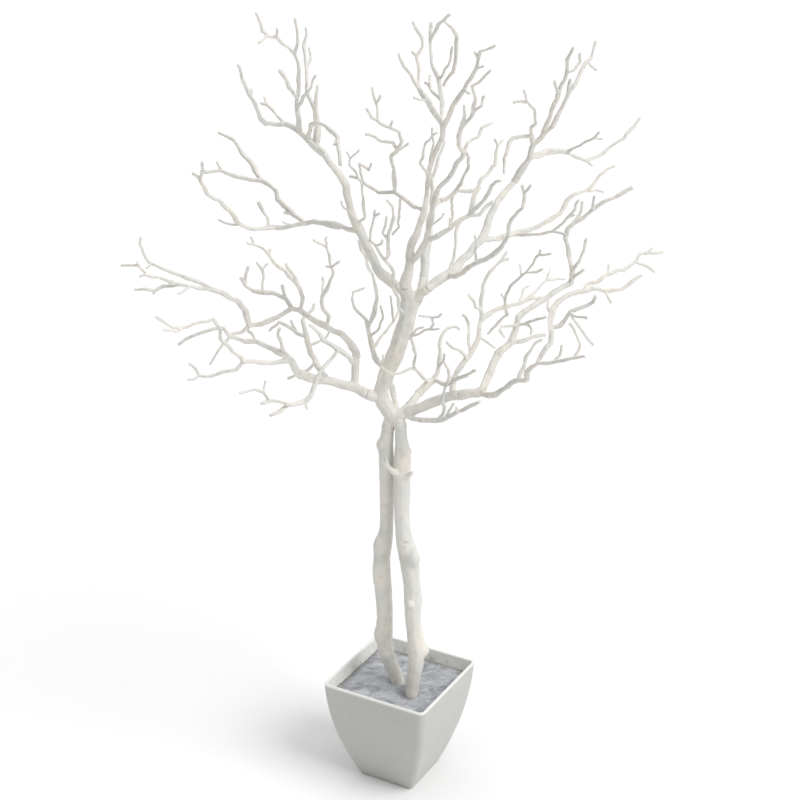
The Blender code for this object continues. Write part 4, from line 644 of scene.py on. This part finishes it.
lip_edges = [e for e in level_edges(shape, POT_HEIGHT) if {round(f.normal.z) for f in e.link_faces} == {0, 1}]
bmesh.ops.bevel(shape, geom=lip_edges, offset=LIP, segments=4, profile=0.5, affect="EDGES", material=-1)
foot_edges = [e for e in level_edges(shape, 0) if {round(f.normal.z) for f in e.link_faces} == {0, -1}]
bmesh.ops.bevel(shape, geom=foot_edges, offset=FOOT_EDGE, segments=2, profile=0.5, affect="EDGES", material=-1)
bmesh.ops.recalc_face_normals(shape, faces=shape.faces)
shape.normal_update()
painted_light, inner = shape.verts.layers.float.new("painted_light"), shape.verts.layers.float.new("inner")
# the band at the lip gets a painted highlight, and the inner wall gets full painted light
for vert in shape.verts:
    vert[painted_light] = LIP_HIGHLIGHT * max(0.0, min(1.0, (vert.co.z - POT_HEIGHT + HIGHLIGHT_BAND) / HIGHLIGHT_FADE))
    if vert.normal.x * vert.co.x + vert.normal.y * vert.co.y < 0 and FLOOR < vert.co.z < POT_HEIGHT - LIP:
        vert[painted_light] = 1.0
        vert[inner] = max(0.0, min(1.0, (SPLASH_TOP - vert.co.z) / SPLASH_FADE))
bmesh.ops.rotate(shape, matrix=Matrix.Rotation(POT_TURN, 3, "Z"), verts=shape.verts)
pot_mesh = bpy.data.meshes.new("pot_moulding")
shape.to_mesh(pot_mesh)
shape.free()
for face in pot_mesh.polygons:
    face.use_smooth = abs(face.normal.z) < 0.999 or face.area < 1e-4
pot = bpy.data.objects.new("pot_moulding", pot_mesh)
scene.collection.objects.link(pot)
dress(pot, "stand", "pot_shell", pot_finish)
print("pot:", len(pot_mesh.polygons), "faces, sides", [round(side, 4) for side in pot.dimensions])

# %% [markdown]
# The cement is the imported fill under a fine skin. Only its top is ever seen, so only points whose skin faces up are
# moved: broad pushes of the stick, sharper drag ridges between them, and grit. A ridge is made by folding a noise
# at zero, which turns its crossings into creases.

# %% The cement
CEMENT_SQUARE, CEMENT_LEVEL, CEMENT_TOP_FROM = 1.5 * MM, 0.156, 0.14
RIM_REACH, RIM_FLATTER = 9 * MM, 0.7
CEMENT_SWING = 4.2 * MM


def cement_height(x, y):
    """The poured surface above its level, in metres."""
    push = noise.noise(Vector((x, y, 0.2)) * 45)
    turn = noise.noise(Vector((x, y, 0.7)) * 25)
    drag = 1 - 2 * abs(noise.noise(Vector((x + 0.014 * turn, y * 1.25 + 0.014 * push, 1.3)) * 58))
    grit = noise.noise(Vector((x, y, 2.9)) * 330)
    return 1.3 * MM * push + 0.9 * MM * drag + 0.35 * MM * grit - 0.6 * MM


def nearness_to_rim(points, turn):
    """1 at the pot's wall, down to 0 away from it."""
    across = points[:, 0] * math.cos(turn) + points[:, 1] * math.sin(turn)
    along = points[:, 1] * math.cos(turn) - points[:, 0] * math.sin(turn)
    wall = half_side(CEMENT_LEVEL) - WALL
    return np.clip(1 - (wall - np.maximum(np.abs(across), np.abs(along))) / RIM_REACH, 0, 1)


cement = merged_copy("cement_fill", "cement_surface")
skin_over(cement, CEMENT_SQUARE * coarser)
points, faces_up = points_of(cement.data), normals_of(cement.data)[:, 2]
top = (faces_up > 0.6) & (points[:, 2] > CEMENT_TOP_FROM)
rise = np.zeros(len(points))
rise[top] = [cement_height(float(x), float(y)) for x, y in points[top, :2]]
rim = nearness_to_rim(points, POT_TURN)
points[:, 2] += rise * (1 - RIM_FLATTER * rim)
move_points(cement.data, points)
for name, values in (("relief", 0.5 + rise / CEMENT_SWING), ("rim", rim)):
    mark = cement.data.attributes.new(name, "FLOAT", "POINT")
    mark.data.foreach_set("value", np.clip(values, 0, 1).astype(np.float32))
for face in cement.data.polygons:
    face.use_smooth = True
dress(cement, "stand", "cement_fill", cement_finish)
print("cement:", len(cement.data.polygons), "faces, relief", round(float(rise[top].min()) / MM, 1), "to",
      round(float(rise[top].max()) / MM, 1), "mm")

# %% [markdown]
# The tree stands on a plain white floor. The floor is wide enough to fill the picture from any side, and it isn't
# part of the object.

# %% The floor
FLOOR_HALF, FLOOR_DROP = 30, 0.2 * MM
shape = bmesh.new()
bmesh.ops.create_grid(shape, x_segments=1, y_segments=1, size=FLOOR_HALF)
bmesh.ops.translate(shape, vec=(0, 0, -FLOOR_DROP), verts=shape.verts)
floor_mesh = bpy.data.meshes.new("studio_floor")
shape.to_mesh(floor_mesh)
shape.free()
floor = bpy.data.objects.new("studio_floor", floor_mesh)
scene.collection.objects.link(floor)
floor_finish, _, floor_shader, _ = new_finish("white_studio_floor")
floor_shader.inputs["Base Color"].default_value = linear("#F0F0F0")
floor_shader.inputs["Roughness"].default_value = 0.9
floor_mesh.materials.append(floor_finish)
print("floor:", 2 * FLOOR_HALF, "m wide")

# %% [markdown]
# The light is soft and comes mostly from the right and a little in front: one wide sun for it, a very wide one from
# straight above, which brightens the lip of the pot, and an even sky. Suns are used rather than softboxes because
# they light the whole floor alike. The sky that lights the tree is dimmer than the one that the camera sees, so that
# the shaded sides of the branches stay a warm grey while the background stays pale.


# %% The lights
def sunlight(name, towards, strength, spread):
    """A sun whose light comes from this direction, as soft as its spread in degrees is wide."""
    lamp = bpy.data.lights.new(name, "SUN")
    lamp.energy = strength
    lamp.angle = math.radians(spread)
    light = bpy.data.objects.new(name, lamp)
    light.rotation_euler = Vector(towards).to_track_quat("Z", "Y").to_euler()
    scene.collection.objects.link(light)
    return light


key_light = sunlight("key_light", (0.80, -0.50, 1.0), 1.95, 36)
top_light = sunlight("top_light", (-0.1, 0.15, 1.0), 1.2, 80)
print("suns:", key_light.data.energy, "and", top_light.data.energy, "W/m2")

world = bpy.data.worlds.new("studio_sky")
scene.world = world
world.use_nodes = True
sky = world.node_tree
sky.nodes.clear()
seen = add_node(sky, "ShaderNodeLightPath").outputs["Is Camera Ray"]
lighting = add_node(sky, "ShaderNodeBackground", {"Color": (1.0, 1.0, 1.0, 1.0), "Strength": 0.38})
backdrop = add_node(sky, "ShaderNodeBackground", {"Color": (1.0, 1.0, 1.0, 1.0), "Strength": 1.0})
both = add_node(sky, "ShaderNodeMixShader", {0: seen, 1: lighting.outputs[0], 2: backdrop.outputs[0]})
add_node(sky, "ShaderNodeOutputWorld", {"Surface": both.outputs[0]})
scene.view_settings.view_transform = "Standard"

# %% [markdown]
# The camera stands where a person would, at eye height 2.25 m in front, and looks down on the tree by 23 degrees. A
# long lens keeps the crown from looking stretched.

# %% The camera
lens = bpy.data.cameras.new("studio_camera")
lens.lens, lens.sensor_width = 74.8, 36
camera = bpy.data.objects.new("studio_camera", lens)
camera.location = (0.0, -2.247, 1.580)
camera.rotation_euler = (math.radians(90 - 22.7), 0, 0)
scene.collection.objects.link(camera)
scene.camera = camera
print("camera:", [round(part, 3) for part in camera.location])

# %% [markdown]
# Last, the scene is brought up to date.

# %% Bringing the scene up to date
bpy.context.view_layer.update()
